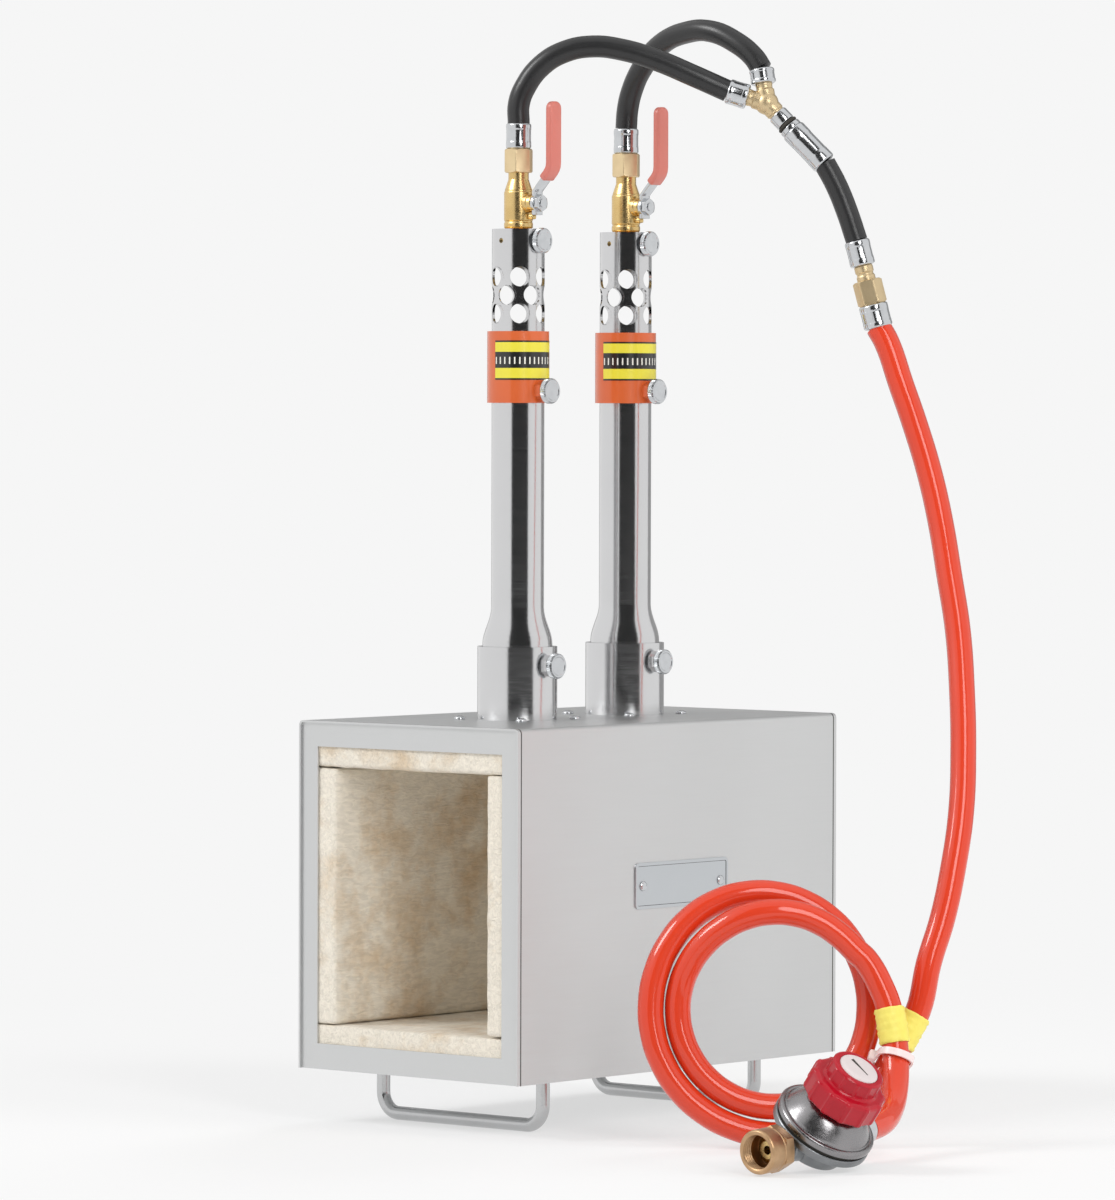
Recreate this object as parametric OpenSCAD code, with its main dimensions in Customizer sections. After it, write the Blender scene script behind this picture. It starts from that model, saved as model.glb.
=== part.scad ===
// Two-burner gas forge on rod legs, with valves, hoses and a regulator.
// Millimetres, +Z up, mouth towards -Y, valve levers towards +X, origin on the floor under the box.

/* [Box] */
// Width of the box across the mouth
box_w = 170; // [160:1:220]
// Height of the box without its legs
box_h = 204; // [190:1:260]
// Depth of the box from mouth to back
box_d = 292; // [280:1:400]
// Thickness of the stainless sheet
sheet_t = 1.2; // [0.8:0.1:2]
// Outside radius of the folded top edges
fold_r = 3; // [2.5:0.5:6]
// Sheet left standing at each side of the mouth
mouth_side = 13.5; // [8:0.5:30]
// Sheet left standing above and below the mouth
mouth_edge = 15; // [8:0.5:30]
// How far the mouth frames sit in from the ends of the wrap
frame_inset = 1.5; // [0.5:0.1:4]
// Depth of the folded returns
return_d = 12; // [8:1:20]
// Thickness of the fibre lining
lining_t = 25; // [20:1:32]

/* [Legs] */
// Height of the box bottom over the floor
leg_h = 32; // [26:1:60]
// Diameter of the leg rod
rod_d = 8; // [7:0.5:10]
// From the side of the box to the middle of a leg upright
leg_in_x = 23; // [16:1:50]
// From the end of the box to the middle of a leg
leg_in_y = 49; // [25:1:90]
// Bend radius in the middle of the leg rod
leg_bend_r = 12; // [8:1:18]

/* [Name plate] */
// Width of the plate
plate_w = 85; // [40:1:120]
// Height of the plate
plate_h = 27; // [16:1:40]
// Thickness of the plate
plate_t = 0.8; // [0.5:0.1:2]
// Height of the middle of the plate over the box bottom
plate_z = 109; // [60:1:150]
// Diameter of a rivet shank
rivet_d = 3; // [2:0.5:4]
// From the end of the plate to a rivet
rivet_in = 7; // [5:0.5:12]

/* [Screws] */
// Diameter of the screw shank
screw_d = 3.8; // [3:0.1:5]
// Length of the screw shank
screw_l = 12; // [8:1:14]
// Diameter of the pan head
screw_head_d = 6.6; // [5.5:0.1:8]
// Height of the pan head
screw_head_h = 2; // [1.2:0.1:3]

/* [Burners] */
// Distance between the burner axes
burner_pitch = 98; // [84:1:140]
// Outside diameter of the socket
socket_od = 47; // [45:0.5:52]
// Wall of the socket
socket_wall = 2.5; // [1.5:0.1:3]
// Height of the socket over the top plate
socket_h = 43; // [34:1:60]
// Side of the square flange under the top plate
flange_w = 60; // [57:1:70]
// Thickness of the flange
flange_t = 2.5; // [2:0.5:4]
// Side of the square of four screws round a socket
screw_square = 48; // [46:1:50]
// Outside diameter of the mixing tube
tube_od = 31; // [28:0.5:33]
// Wall of the mixing tube
tube_wall = 1.5; // [1:0.1:2]
// Height of the tube head over the top plate
tube_h = 288; // [260:1:340]
// Length of the flare above the socket
flare_l = 22; // [14:1:40]

/* [Air holes] */
// Diameter of an air hole
air_d = 11.7; // [6:0.1:12.5]
// Rows of air holes
air_rows = 3; // [2:1:3]
// Holes in a row
air_count = 6; // [4:1:6]
// Distance between rows
air_row_pitch = 10.8; // [10:0.1:11.5]
// From the tube head down to the first row
air_drop = 28; // [26:0.5:30]
// Diameter of the small vent in the tube head
vent_d = 3; // [2:0.5:4]

/* [Choke sleeves] */
// Wall of the sleeve
sleeve_wall = 2.4; // [1.5:0.1:3]
// Height of the sleeve
sleeve_h = 42; // [38:1:46]
// From the tube head down to the top of the sleeve
sleeve_drop = 60; // [58:1:70]
// Gap between sleeve and tube
sleeve_gap = 0.3; // [0.2:0.05:0.4]

/* [Thumbscrews] */
// Diameter of the thumbscrew head
thumb_d = 15; // [12:0.5:18]
// Thickness of the thumbscrew head
thumb_t = 4.5; // [3:0.5:6]
// Diameter of the thumbscrew shank
thumb_shank_d = 6; // [4:0.5:6]
// Width across the corners of the weld nuts
weld_nut_d = 12.5; // [11:0.5:14]
// Thickness of the weld nuts
weld_nut_t = 3.6; // [3:0.2:5]
// From the tube head down to its thumbscrew
tube_thumb_drop = 7; // [6:0.5:9]
// From the bottom of the sleeve up to its thumbscrew
sleeve_thumb_rise = 7; // [7:0.5:12]
// From the rim of the socket down to its thumbscrew
socket_thumb_drop = 11; // [9:0.5:20]

/* [Valves] */
// Diameter of the valve body
valve_d = 17; // [16.6:0.1:20]
// Height of the valve body
valve_h = 23; // [22:0.5:30]
// Height of the stem axis over the tube head
valve_axis = 15; // [14:0.5:15.5]
// Diameter of the ball
ball_d = 12; // [11:0.2:12.4]
// Bore of the valve
valve_bore = 7; // [5:0.5:7.5]
// Diameter of the stem
stem_d = 5; // [4:0.5:6]
// Diameter of the stem boss
boss_d = 10.5; // [9:0.5:13]
// From the valve axis to the end of the stem boss
boss_x = 13; // [11:0.5:16]
// Thickness of the lever strip
lever_t = 2.2; // [1.5:0.1:3]
// Width of the lever strip
lever_w = 7.5; // [6:0.5:10]
// Width of the lever round the stem
lever_eye_w = 10; // [9:0.5:12]
// Length of the lever from the stem to its tip
lever_l = 58; // [54:1:62]
// Outward crank of the lever
lever_crank = 12.5; // [8:0.5:16]
// Height over the stem where the lever runs straight
lever_bend = 20; // [18:0.5:24]
// Height of the vinyl grip
grip_l = 44; // [40:1:48]
// Wall of the vinyl grip
grip_wall = 1.2; // [0.8:0.1:2]
// Width across the corners of the lever nut
lever_nut_d = 10.4; // [9:0.2:13]
// Thickness of the lever nut
lever_nut_t = 3; // [2.4:0.2:4]
// Height of the hose adaptor
adaptor_h = 10; // [7:0.5:14]

/* [Hoses] */
// Outside diameter of the black hoses
black_d = 13; // [11:0.5:14]
// Outside diameter of the red hose
red_d = 15; // [13:0.5:15.4]
// Diameter of the slim crimp ferrules
ferrule_d = 14.8; // [14:0.2:17]
// Length of the ferrules at the valves
ferrule_l = 15; // [12:0.5:18]
// Width across the corners of the swivel nuts
hose_nut_d = 17.5; // [16:0.5:20]
// Height of the swivel nuts
hose_nut_h = 14; // [11:0.5:16]
// Mean radius of the outer loop of the red hose
loop_r = 70; // [68:1:80]
// Step from the outer loop to the inner one
loop_step = 16.2; // [16:0.1:18]
// Step across the loops where the hose crosses itself
loop_cross = 19; // [17:0.5:24]

/* [Regulator] */
// Diameter of the crimped rim
reg_rim_d = 58; // [56:1:70]
// Height of the bowl under the rim
reg_bowl_h = 21; // [21:0.5:26]
// Diameter of the knob skirt
knob_d = 45; // [40:1:52]
// Diameter of the knob crown
crown_d = 31; // [26:1:38]
// Diameter of the pale cap
cap_d = 23; // [14:1:25]
// Diameter of the round mouth of the inlet nut
inlet_d = 24.8; // [24:0.2:28]
// Bore of the inlet nut
inlet_bore = 19; // [16:0.5:19.5]
// Length of that bore
inlet_bore_l = 8.5; // [6:0.5:9]

/* [Hidden] */
$fn = 48;

// Clearance of a screw or rivet in its hole, of a fit that turns or slides, of a loose piece, over the floor,
// and the reach of a cut past a face
hole_gap = 0.1;
fit_gap = 0.05;
loose_gap = 0.4;
floor_gap = 0.3;
cut = 1;

// Box heights and half widths
z_top = leg_h + box_h;
pan_top = leg_h + sheet_t;
in_x = box_w / 2 - sheet_t;
lining_x = in_x - sheet_t;
frame_y = box_d / 2 - frame_inset;
lining_y = frame_y - sheet_t;
roof_top = z_top - 2 * sheet_t;
roof_bottom = roof_top - lining_t;
hearth_z = pan_top + lining_t;
leg_x = box_w / 2 - leg_in_x;
leg_y = box_d / 2 - leg_in_y;

// Burner axes and radii
FRONT = -burner_pitch / 2;
REAR = burner_pitch / 2;
socket_r = socket_od / 2;
socket_in_r = socket_r - socket_wall;
socket_top = z_top + socket_h;
flange_z = z_top - sheet_t - flange_t;
flare_r = socket_in_r - loose_gap;
tube_r = tube_od / 2;
tube_in_r = tube_r - tube_wall;
tube_z = z_top + tube_h;
tube_rise = 4;
flare_z = socket_top + 1;
port_gap = 1;
sleeve_in_r = tube_r + sleeve_gap;
sleeve_r = sleeve_in_r + sleeve_wall;
sleeve_z = tube_z - sleeve_drop - sleeve_h;
tip_gap = 0.2;
head_gap = 0.6;

// Valve heights, measured up the burner axis
valve_r = valve_d / 2;
stem_z = tube_z + valve_axis;
valve_top = tube_z + valve_h;
seat_t = 1.5;
seat_r = valve_bore / 2 + 0.2;
seat_gap = 0.2;
ball_r = ball_d / 2;
seat_reach = sqrt(ball_r * ball_r - seat_r * seat_r) + seat_gap;
cavity_r = ball_r + 0.3;
cavity_z = stem_z - seat_reach - seat_t;
spigot_z = stem_z + seat_reach + seat_t;
spigot_r = 5;
spigot_l = 6;
male_r = 5;
adaptor_top = valve_top + adaptor_h;
hose_nut_z = adaptor_top;
hose_nut_top = hose_nut_z + hose_nut_h;
hose_z = hose_nut_top + ferrule_l;
slot_w = 2.2;
tang_w = 2;
slot_x = valve_bore / 2 + 0.8;
lever_x = boss_x + loose_gap;
lever_nut_x = lever_x + lever_t;
stem_proud = 0.8;

// Hoses: the fittings' points and the routes, chosen along the runs; the fittings lie on straight lines
black_r = black_d / 2;
red_r = red_d / 2;
hose_bore_r = 2;
Y_AT = [115, 40, 598];
F1_A = [97, 26, 605];
F2_A = [111, 40, 618];
T_B = [129, 47, 582];
U_A = [168, 68, 494];
U_B = [171, 70, 480];
y_port_l = 11.5;
coupling_from = 9;
tail_ferrule_l = 27.5;
union_neck_l = 9;
union_ferrule_l = 14;
FRONT_MID = [[0, -49, 597], [3, -47, 607], [11, -41, 620], [22, -33, 628], [35, -23, 631], [49, -13, 629],
    [65, -1, 623], [82, 12, 614]];
REAR_MID = [[1, 49, 597], [5, 48, 608], [16, 45, 622], [34, 41, 635], [55, 38, 641], [76, 36, 641],
    [94, 37, 634], [106, 39, 625]];
TAIL_MID = [[152, 59, 550], [158, 62, 534]];
RED_MID = [[179, 73, 458], [188, 75, 434], [199, 75, 409], [209, 75, 383], [220, 72, 353], [231, 66, 323],
    [242, 60, 291], [252, 51, 257], [260, 42, 223], [267, 31, 189], [270, 20, 158], [270, 10, 129],
    [268, 0, 104]];
OUT_MID = [[261.6, -35.8, 92], [266.6, -34.6, 79.5], [271.4, -35.6, 61.5], [275.3, -39.4, 48.5],
    [281, -47.5, 36.5], [287.5, -60, 26.6], [294, -76, 21]];

// Loops of the red hose: they stand on the floor, face the viewer, lean back a little and turn clockwise
loop_yaw = 46;
loop_lean = 8;
loop_start = -22;
loop_turn = 664;
loop_wide = 3;
loop_rings = 24;
loop_lift = 1.6;
loop_in_l = 30;
loop_out_l = 6;
LOOP_AT = [214.5, -72.5, loop_r + red_r + loop_lift];
loop_h = [cos(loop_yaw), sin(loop_yaw), 0];
loop_n = [sin(loop_yaw) * cos(loop_lean), -cos(loop_yaw) * cos(loop_lean), sin(loop_lean)];
loop_k = cross(loop_n, loop_h);

// Regulator: heights along its own axis start at the diaphragm, widths at that axis
reg_r = reg_rim_d / 2;
reg_seam = 0.8;
rim_h = 5;
foot_r = 12;
foot_rise = 4;
shoulder_r = foot_r + 6;
side_r = reg_r - 7.5;
side_rise = 12;
bowl_outline = [[0, -reg_bowl_h], [foot_r, -reg_bowl_h], [shoulder_r, foot_rise - reg_bowl_h],
    [side_r, side_rise - reg_bowl_h], [reg_r - rim_h, -rim_h - 1], [reg_r, -rim_h], [reg_r, -reg_seam],
    [0, -reg_seam]];
port_z = -11;
port_y = reg_r + 0.5;
outlet_y = reg_r + 1.5;
outlet_ferrule_l = 16;
nut_y = reg_r + 3;
nut_wall = 4;
nut_l = 19;
nut_mouth = -nut_y - nut_l;
nipple_r = 6;
nipple_bore = 2.5;

// It is turned about its inlet axis, tipped down at the inlet, and lies on the floor
reg_lean = 38;
reg_tip = 3;
reg_upright = cos(reg_lean) * cos(reg_tip);
reg_low = max([for (p = bowl_outline) p.x * sqrt(1 - reg_upright * reg_upright) - p.y * reg_upright]);
REG_AT = [304, -141, reg_low + floor_gap];

// Rotation of a point or direction from the regulator's frame to the part's
function reg_turn(v) = let (a = [v.x * cos(reg_lean) + v.z * sin(reg_lean), v.y,
    -v.x * sin(reg_lean) + v.z * cos(reg_lean)])
    [a.x, a.y * cos(reg_tip) - a.z * sin(reg_tip), a.y * sin(reg_tip) + a.z * cos(reg_tip)];
reg_out = reg_turn([0, 1, 0]);
OUTLET = REG_AT + reg_turn([0, outlet_y + outlet_ferrule_l, port_z]);

function unit(v) = v / norm(v);
function smooth(t) = let (u = min(1, max(0, t))) u * u * (3 - 2 * u);
function side_of(d) = norm(cross([0, 0, 1], d)) < 0.001 ? [1, 0, 0] : unit(cross([0, 0, 1], d));
function arc(x, y, r, from, to, steps = 6) =
    [for (i = [0 : steps]) let (a = from + (to - from) * i / steps) [x + r * cos(a), y + r * sin(a)]];

// A point of the loops after turning t degrees: the radius steps in and out, the layer steps across
function loop_radius(t) = loop_r + loop_wide * (1 - smooth(t / 100))
    - loop_step * (smooth((t - 200) / 150) - smooth((t - 645) / 110));
function loop_layer(t) = loop_cross * (smooth((t - 520) / 90) - 0.5);
function loop_point(t) = let (a = loop_start - t)
    LOOP_AT + loop_radius(t) * (cos(a) * loop_h + sin(a) * loop_k) + loop_layer(t) * loop_n;
loop_count = ceil(loop_turn / 360 * loop_rings);
loop_path = [for (i = [0 : loop_count]) loop_point(loop_turn * i / loop_count)];
loop_in = unit(loop_path[0] - loop_path[1]);
loop_out = unit(loop_path[loop_count] - loop_path[loop_count - 1]);
LOOP_IN = loop_path[0] + loop_in * loop_in_l;
LOOP_OUT = loop_path[loop_count] + loop_out * loop_out_l;
loops_route = concat([LOOP_IN], loop_path, [LOOP_OUT]);
loop_apart = loop_rings / 3;
loop_gap = min([for (i = [0 : loop_count]) for (j = [i + loop_apart : 1 : loop_count])
    norm(loop_path[i] - loop_path[j])]) - red_d;
echo(least_gap_of_hose_loops = loop_gap);

// Points of the fittings along their lines
tail_way = unit(T_B - Y_AT);
union_way = unit(U_B - U_A);
F1_B = Y_AT + unit(F1_A - Y_AT) * y_port_l;
F2_B = Y_AT + unit(F2_A - Y_AT) * y_port_l;
T_A = Y_AT + tail_way * coupling_from;
T_C = T_B + tail_way * tail_ferrule_l;
T_E = U_A - union_way * union_neck_l;
T_D = T_E - union_way * ferrule_l;
U_C = U_B + union_way * union_ferrule_l;

front_route = concat([[0, FRONT, hose_z]], FRONT_MID, [F1_A]);
rear_route = concat([[0, REAR, hose_z]], REAR_MID, [F2_A]);
tail_route = concat([T_C], TAIL_MID, [T_D]);
red_route = concat([U_C], RED_MID, [LOOP_IN]);
out_route = concat([LOOP_OUT], OUT_MID, [OUTLET]);

// Spring in the regulator, between the diaphragm and the pressure plate
neck_r = 14;
neck_z = 24;
neck_foot = 16.5;
screw_r = 6;
press_z = 13.2;
press_r = 9.5;
press_t = 1.5;
skirt_z = 18;
skirt_top = 32;
crown_top = 42;
spring_r = 8;
spring_wire = 1;
spring_turns = 4;
spring_z0 = reg_seam + spring_wire + loose_gap;
spring_z1 = press_z - spring_wire - loose_gap;
spring_rings = 8;
spring_route = [for (i = [0 : spring_turns * spring_rings]) let (t = i / (spring_turns * spring_rings))
    [spring_r * cos(360 * spring_turns * t), spring_r * sin(360 * spring_turns * t),
    spring_z0 + (spring_z1 - spring_z0) * t]];
echo(least_gap_of_spring = (spring_z1 - spring_z0) / spring_turns - 2 * spring_wire);

// Sweep: tangents, side directions carried along the route, rings and faces
function tangent(p, i) = unit(p[min(i + 1, len(p) - 1)] - p[max(i - 1, 0)]);
function carried(n, t) = unit(n - (n * t) * t);
function sides_along(p, t) = [for (i = 0, n = side_of(t[0]); i < len(p);
    i = i + 1, n = carried(n, t[min(i, len(p) - 1)])) n];
function ring(c, n, t, r, sides) = let (b = cross(t, n))
    [for (k = [0 : sides - 1]) c + r * (cos(360 * k / sides) * n + sin(360 * k / sides) * b)];

// Tube along a route, with its end faces square to the directions given
module tube(route, r, sides, start, end) {
    last = len(route) - 1;
    t = [for (i = [0 : last]) i == 0 ? start : i == last ? end : tangent(route, i)];
    n = sides_along(route, t);
    rings = [for (i = [0 : last]) ring(route[i], n[i], t[i], r, sides)];
    points = [for (one = rings) each one];
    walls = [for (i = [0 : last - 1]) for (k = [0 : sides - 1])
        let (a = i * sides + k, b = i * sides + (k + 1) % sides)
        each [[a, a + sides, b], [b, a + sides, b + sides]]];
    first_cap = [for (k = [1 : sides - 2]) [0, k, k + 1]];
    last_cap = [for (k = [1 : sides - 2]) [last * sides, last * sides + k + 1, last * sides + k]];
    polyhedron(points, concat(walls, first_cap, last_cap));
}

// Put what follows at a point, with its +Z along a direction
module along(p, d) {
    z = unit(d);
    x = side_of(z);
    y = cross(z, x);
    multmatrix([[x.x, y.x, z.x, p.x], [x.y, y.y, z.y, p.y], [x.z, y.z, z.z, p.z], [0, 0, 0, 1]]) children();
}

// A solid turned about Z from half outlines
module turned(outline) {
    rotate_extrude() polygon(outline);
}

// A block given by its least and greatest corners
module block(a, b) {
    translate(a) cube(b - a);
}

// A round bar along X, from one distance to another
module bar_x(r, from, to, sides = $fn) {
    translate([from, 0, 0]) rotate([0, 90, 0]) cylinder(r = r, h = to - from, $fn = sides);
}

// Outline of the box seen from the mouth, with rounded upper corners
module arch(half, low, high, r) {
    polygon(concat([[half, low]], arc(half - r, high - r, r, 0, 90), arc(r - half, high - r, r, 90, 180),
        [[-half, low]]));
}

// Stretch an outline seen from the mouth between two depths
module deep(from, to) {
    translate([0, to, 0]) rotate([90, 0, 0]) linear_extrude(to - from) children();
}

module each_burner() {
    for (y = [FRONT, REAR]) translate([0, y, 0]) children();
}

module each_flange_screw() {
    for (x = [-1, 1], y = [-1, 1]) translate([x, y, 0] * screw_square / 2) children();
}

module each_leg_screw() {
    for (x = [-1, 1], y = [-1, 1]) translate([x * leg_x, y * leg_y, 0]) children();
}

module each_rivet() {
    for (y = [-1, 1]) translate([box_w / 2, y * (plate_w / 2 - rivet_in), leg_h + plate_z]) children();
}

module shell_wrap() color("silver") {
    difference() {
        deep(-box_d / 2, box_d / 2) difference() {
            arch(box_w / 2, leg_h, z_top, fold_r);
            arch(in_x, leg_h - cut, z_top - sheet_t, fold_r - sheet_t);
        }
        each_burner() {
            translate([0, 0, z_top - sheet_t - cut])
                cylinder(r = socket_r + hole_gap, h = sheet_t + 2 * cut);
            each_flange_screw() translate([0, 0, z_top - sheet_t - cut])
                cylinder(r = screw_d / 2 + hole_gap, h = sheet_t + 2 * cut);
        }
        each_rivet() bar_x(rivet_d / 2 + hole_gap, -sheet_t - cut, cut);
    }
}

// Mouth frame with its folded returns; the turn puts it at the front or at the back
module end_frame() color("gainsboro") {
    difference() {
        deep(-frame_y, return_d - frame_y) arch(in_x, pan_top, z_top - sheet_t, fold_r - sheet_t);
        block([-lining_x, sheet_t - frame_y, pan_top - cut], [lining_x, return_d - frame_y + cut, roof_top]);
        block([mouth_side - box_w / 2, -frame_y - cut, leg_h + mouth_edge],
            [box_w / 2 - mouth_side, sheet_t - frame_y + cut, z_top - mouth_edge]);
    }
}

module front_frame() end_frame();

module rear_frame() rotate([0, 0, 180]) end_frame();

module floor_pan() color("silver") {
    flange_y = frame_y - return_d - loose_gap;
    difference() {
        union() {
            block([-in_x, -frame_y, leg_h], [in_x, frame_y, pan_top]);
            for (x = [-in_x, lining_x])
                block([x, -flange_y, pan_top - sheet_t / 2], [x + sheet_t, flange_y, pan_top + return_d]);
        }
        each_leg_screw() translate([0, 0, leg_h - cut])
            cylinder(r = screw_d / 2 + hole_gap, h = sheet_t + 2 * cut);
    }
}

// One U-bent rod leg, drilled up its two ends for the screws
module leg() color("gray") {
    bar_z = rod_d / 2;
    bend_z = bar_z + leg_bend_r;
    bend_x = leg_x - leg_bend_r;
    difference() {
        union() {
            translate([0, 0, bar_z]) bar_x(rod_d / 2, -bend_x, bend_x);
            for (s = [0, 180]) rotate([0, 0, s]) {
                translate([bend_x, 0, bend_z]) rotate([90, 0, 0])
                    rotate_extrude(angle = -90) translate([leg_bend_r, 0]) circle(d = rod_d);
                translate([leg_x, 0, bend_z]) cylinder(d = rod_d, h = leg_h - bend_z);
            }
        }
        for (x = [-leg_x, leg_x]) translate([x, 0, pan_top - screw_l - cut])
            cylinder(r = screw_d / 2 + hole_gap, h = screw_l + 2 * cut);
    }
}

module front_leg() translate([0, -leg_y, 0]) leg();

module rear_leg() translate([0, leg_y, 0]) leg();

// Pan-head screw standing on the face that it holds, shank down
module pan_screw() {
    crown = screw_head_h * 0.6;
    turned([[0, -screw_l], [screw_d / 2, -screw_l], [screw_d / 2, 0], [screw_head_d / 2, 0],
        [screw_head_d / 2, crown], [screw_head_d / 3, screw_head_h], [0, screw_head_h]]);
}

module pan_screws() color("dimgray") {
    each_burner() each_flange_screw() translate([0, 0, z_top]) pan_screw();
    each_leg_screw() translate([0, 0, pan_top]) pan_screw();
}

module lining_floor() color("linen") {
    difference() {
        block([-lining_x, -lining_y, pan_top], [lining_x, lining_y, hearth_z]);
        each_leg_screw() translate([0, 0, pan_top - cut])
            cylinder(r = screw_head_d / 2 + loose_gap, h = cut + screw_head_h + loose_gap);
    }
}

module lining_right() color("linen") {
    block([lining_x - lining_t, -lining_y, hearth_z], [lining_x, lining_y, roof_bottom]);
}

module lining_left() mirror([1, 0, 0]) lining_right();

module lining_roof() color("linen") {
    pocket_z = z_top - screw_l - cut;
    pocket = flange_w / 2 + port_gap;
    difference() {
        block([-lining_x, -lining_y, roof_bottom], [lining_x, lining_y, roof_top]);
        each_burner() {
            translate([0, 0, roof_bottom - cut]) cylinder(r = flare_r + port_gap, h = lining_t + 2 * cut);
            block([-pocket, -pocket, pocket_z], [pocket, pocket, roof_top + cut]);
        }
    }
}

module name_plate() color("whitesmoke") {
    difference() {
        translate([box_w / 2, 0, leg_h + plate_z])
            block([0, -plate_w / 2, -plate_h / 2], [plate_t, plate_w / 2, plate_h / 2]);
        each_rivet() bar_x(rivet_d / 2 + hole_gap, -cut, plate_t + cut);
    }
}

module plate_rivets() color("gray") {
    tail = in_x - lining_x - loose_gap;
    tail_r = rivet_d * 0.8;
    head_r = rivet_d;
    head_h = rivet_d * 0.4;
    head_top = plate_t + head_h;
    each_rivet() rotate([0, 90, 0]) turned([[0, -sheet_t - tail], [tail_r, -sheet_t - tail],
        [tail_r, -sheet_t], [rivet_d / 2, -sheet_t], [rivet_d / 2, plate_t], [head_r, plate_t],
        [head_r * 0.8, plate_t + head_h * 0.6], [head_r * 0.3, head_top], [0, head_top]]);
}

// Hexagon nut welded on a round wall of radius r, with its hole along X
module weld_nut(r) {
    bar_x(weld_nut_d / 2, r - cut, r + weld_nut_t, 6);
}

module socket(y) color("silver") translate([0, y, 0]) {
    thumb_z = socket_top - socket_thumb_drop;
    half = flange_w / 2;
    difference() {
        union() {
            translate([0, 0, flange_z]) cylinder(r = socket_r, h = socket_top - flange_z);
            block([-half, -half, flange_z], [half, half, flange_z + flange_t]);
            translate([0, 0, thumb_z]) weld_nut(socket_r);
        }
        translate([0, 0, flange_z - cut]) cylinder(r = socket_in_r, h = socket_top - flange_z + 2 * cut);
        translate([0, 0, thumb_z])
            bar_x(thumb_shank_d / 2 + hole_gap, socket_in_r - cut, socket_r + weld_nut_t + cut);
        each_flange_screw() translate([0, 0, flange_z - cut])
            cylinder(r = screw_d / 2 + hole_gap, h = flange_t + 2 * cut);
    }
}

module front_socket() socket(FRONT);

module rear_socket() socket(REAR);

// Half outline of the tube wall: wide in the socket, drawn in above it
function flare_at(t) = tube_r + (flare_r - tube_r) * (1 + cos(180 * t)) / 2;
flare_steps = 8;
flare_curve = [for (i = [0 : flare_steps]) let (t = i / flare_steps) [flare_at(t), flare_z + flare_l * t]];
tube_bottom = roof_bottom + tube_rise;
tube_outside = concat([[flare_r, tube_bottom]], flare_curve, [[tube_r, tube_z]]);
tube_last = len(tube_outside) - 1;
tube_inside = [for (i = [tube_last : -1 : 0]) tube_outside[i] - [tube_wall, 0]];

module burner_tube(y) color("silver") translate([0, y, 0]) {
    turn = 360 / air_count;
    difference() {
        turned(concat(tube_outside, tube_inside));
        for (row = [0 : air_rows - 1], k = [0 : air_count - 1])
            translate([0, 0, tube_z - air_drop - row * air_row_pitch])
                rotate([0, 0, turn / 4 + turn * (k + (row % 2) / 2)])
                    bar_x(air_d / 2, tube_in_r / 2, tube_r + cut);
        translate([0, 0, tube_z - tube_thumb_drop]) {
            bar_x(thumb_shank_d / 2 + hole_gap, tube_in_r / 2, tube_r + cut);
            rotate([0, 0, -90]) bar_x(vent_d / 2, tube_in_r / 2, tube_r + cut);
        }
    }
}

module front_burner_tube() burner_tube(FRONT);

module rear_burner_tube() burner_tube(REAR);

module choke_sleeve(y) color("orangered") translate([0, y, sleeve_z]) {
    difference() {
        union() {
            cylinder(r = sleeve_r, h = sleeve_h);
            translate([0, 0, sleeve_thumb_rise]) weld_nut(sleeve_r);
        }
        translate([0, 0, -cut]) cylinder(r = sleeve_in_r, h = sleeve_h + 2 * cut);
        translate([0, 0, sleeve_thumb_rise])
            bar_x(thumb_shank_d / 2 + hole_gap, sleeve_in_r - cut, sleeve_r + weld_nut_t + cut);
    }
}

module front_choke_sleeve() choke_sleeve(FRONT);

module rear_choke_sleeve() choke_sleeve(REAR);

// Thumbscrew along X: its tip presses at one distance, its head stands off a seat at another
module thumbscrew(y, z, tip, seat) color("lightgray") {
    collar_r = thumb_shank_d / 2 + 1.2;
    r = thumb_d / 2;
    head = seat + head_gap;
    bevel = thumb_t / 5;
    translate([0, y, z]) rotate([0, 90, 0]) turned([[0, tip], [thumb_shank_d / 2, tip],
        [thumb_shank_d / 2, seat + tip_gap], [collar_r, seat + tip_gap], [collar_r, head], [r - bevel, head],
        [r, head + bevel], [r, head + thumb_t - bevel], [r - bevel, head + thumb_t], [0, head + thumb_t]]);
}

module socket_thumbscrew(y)
    thumbscrew(y, socket_top - socket_thumb_drop, flare_r + tip_gap, socket_r + weld_nut_t);

module sleeve_thumbscrew(y)
    thumbscrew(y, sleeve_z + sleeve_thumb_rise, tube_r + tip_gap, sleeve_r + weld_nut_t);

module tube_thumbscrew(y)
    thumbscrew(y, tube_z - tube_thumb_drop, tube_in_r + tip_gap, tube_r);

module front_socket_thumbscrew() socket_thumbscrew(FRONT);

module rear_socket_thumbscrew() socket_thumbscrew(REAR);

module front_sleeve_thumbscrew() sleeve_thumbscrew(FRONT);

module rear_sleeve_thumbscrew() sleeve_thumbscrew(REAR);

module front_tube_thumbscrew() tube_thumbscrew(FRONT);

module rear_tube_thumbscrew() tube_thumbscrew(REAR);

// Turned brass jet: a plug in the tube head, a spigot for the valve above, a nozzle below
module gas_jets() color("goldenrod") {
    plug_r = tube_in_r - hole_gap;
    plug_l = 14;
    nozzle_r = 4.5;
    nozzle_l = 15;
    tip_l = 5;
    jet_r = 0.8;
    feed_r = 2;
    jet_top = spigot_l - hole_gap;
    neck = spigot_r - hole_gap;
    each_burner() translate([0, 0, tube_z]) turned([[jet_r, -nozzle_l - tip_l],
        [jet_r * 2, -nozzle_l - tip_l], [nozzle_r, -nozzle_l], [nozzle_r, -plug_l], [plug_r, -plug_l],
        [plug_r, 0], [neck, 0], [neck, jet_top], [feed_r, jet_top], [feed_r, -nozzle_l], [jet_r, -nozzle_l]]);
}

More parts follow.
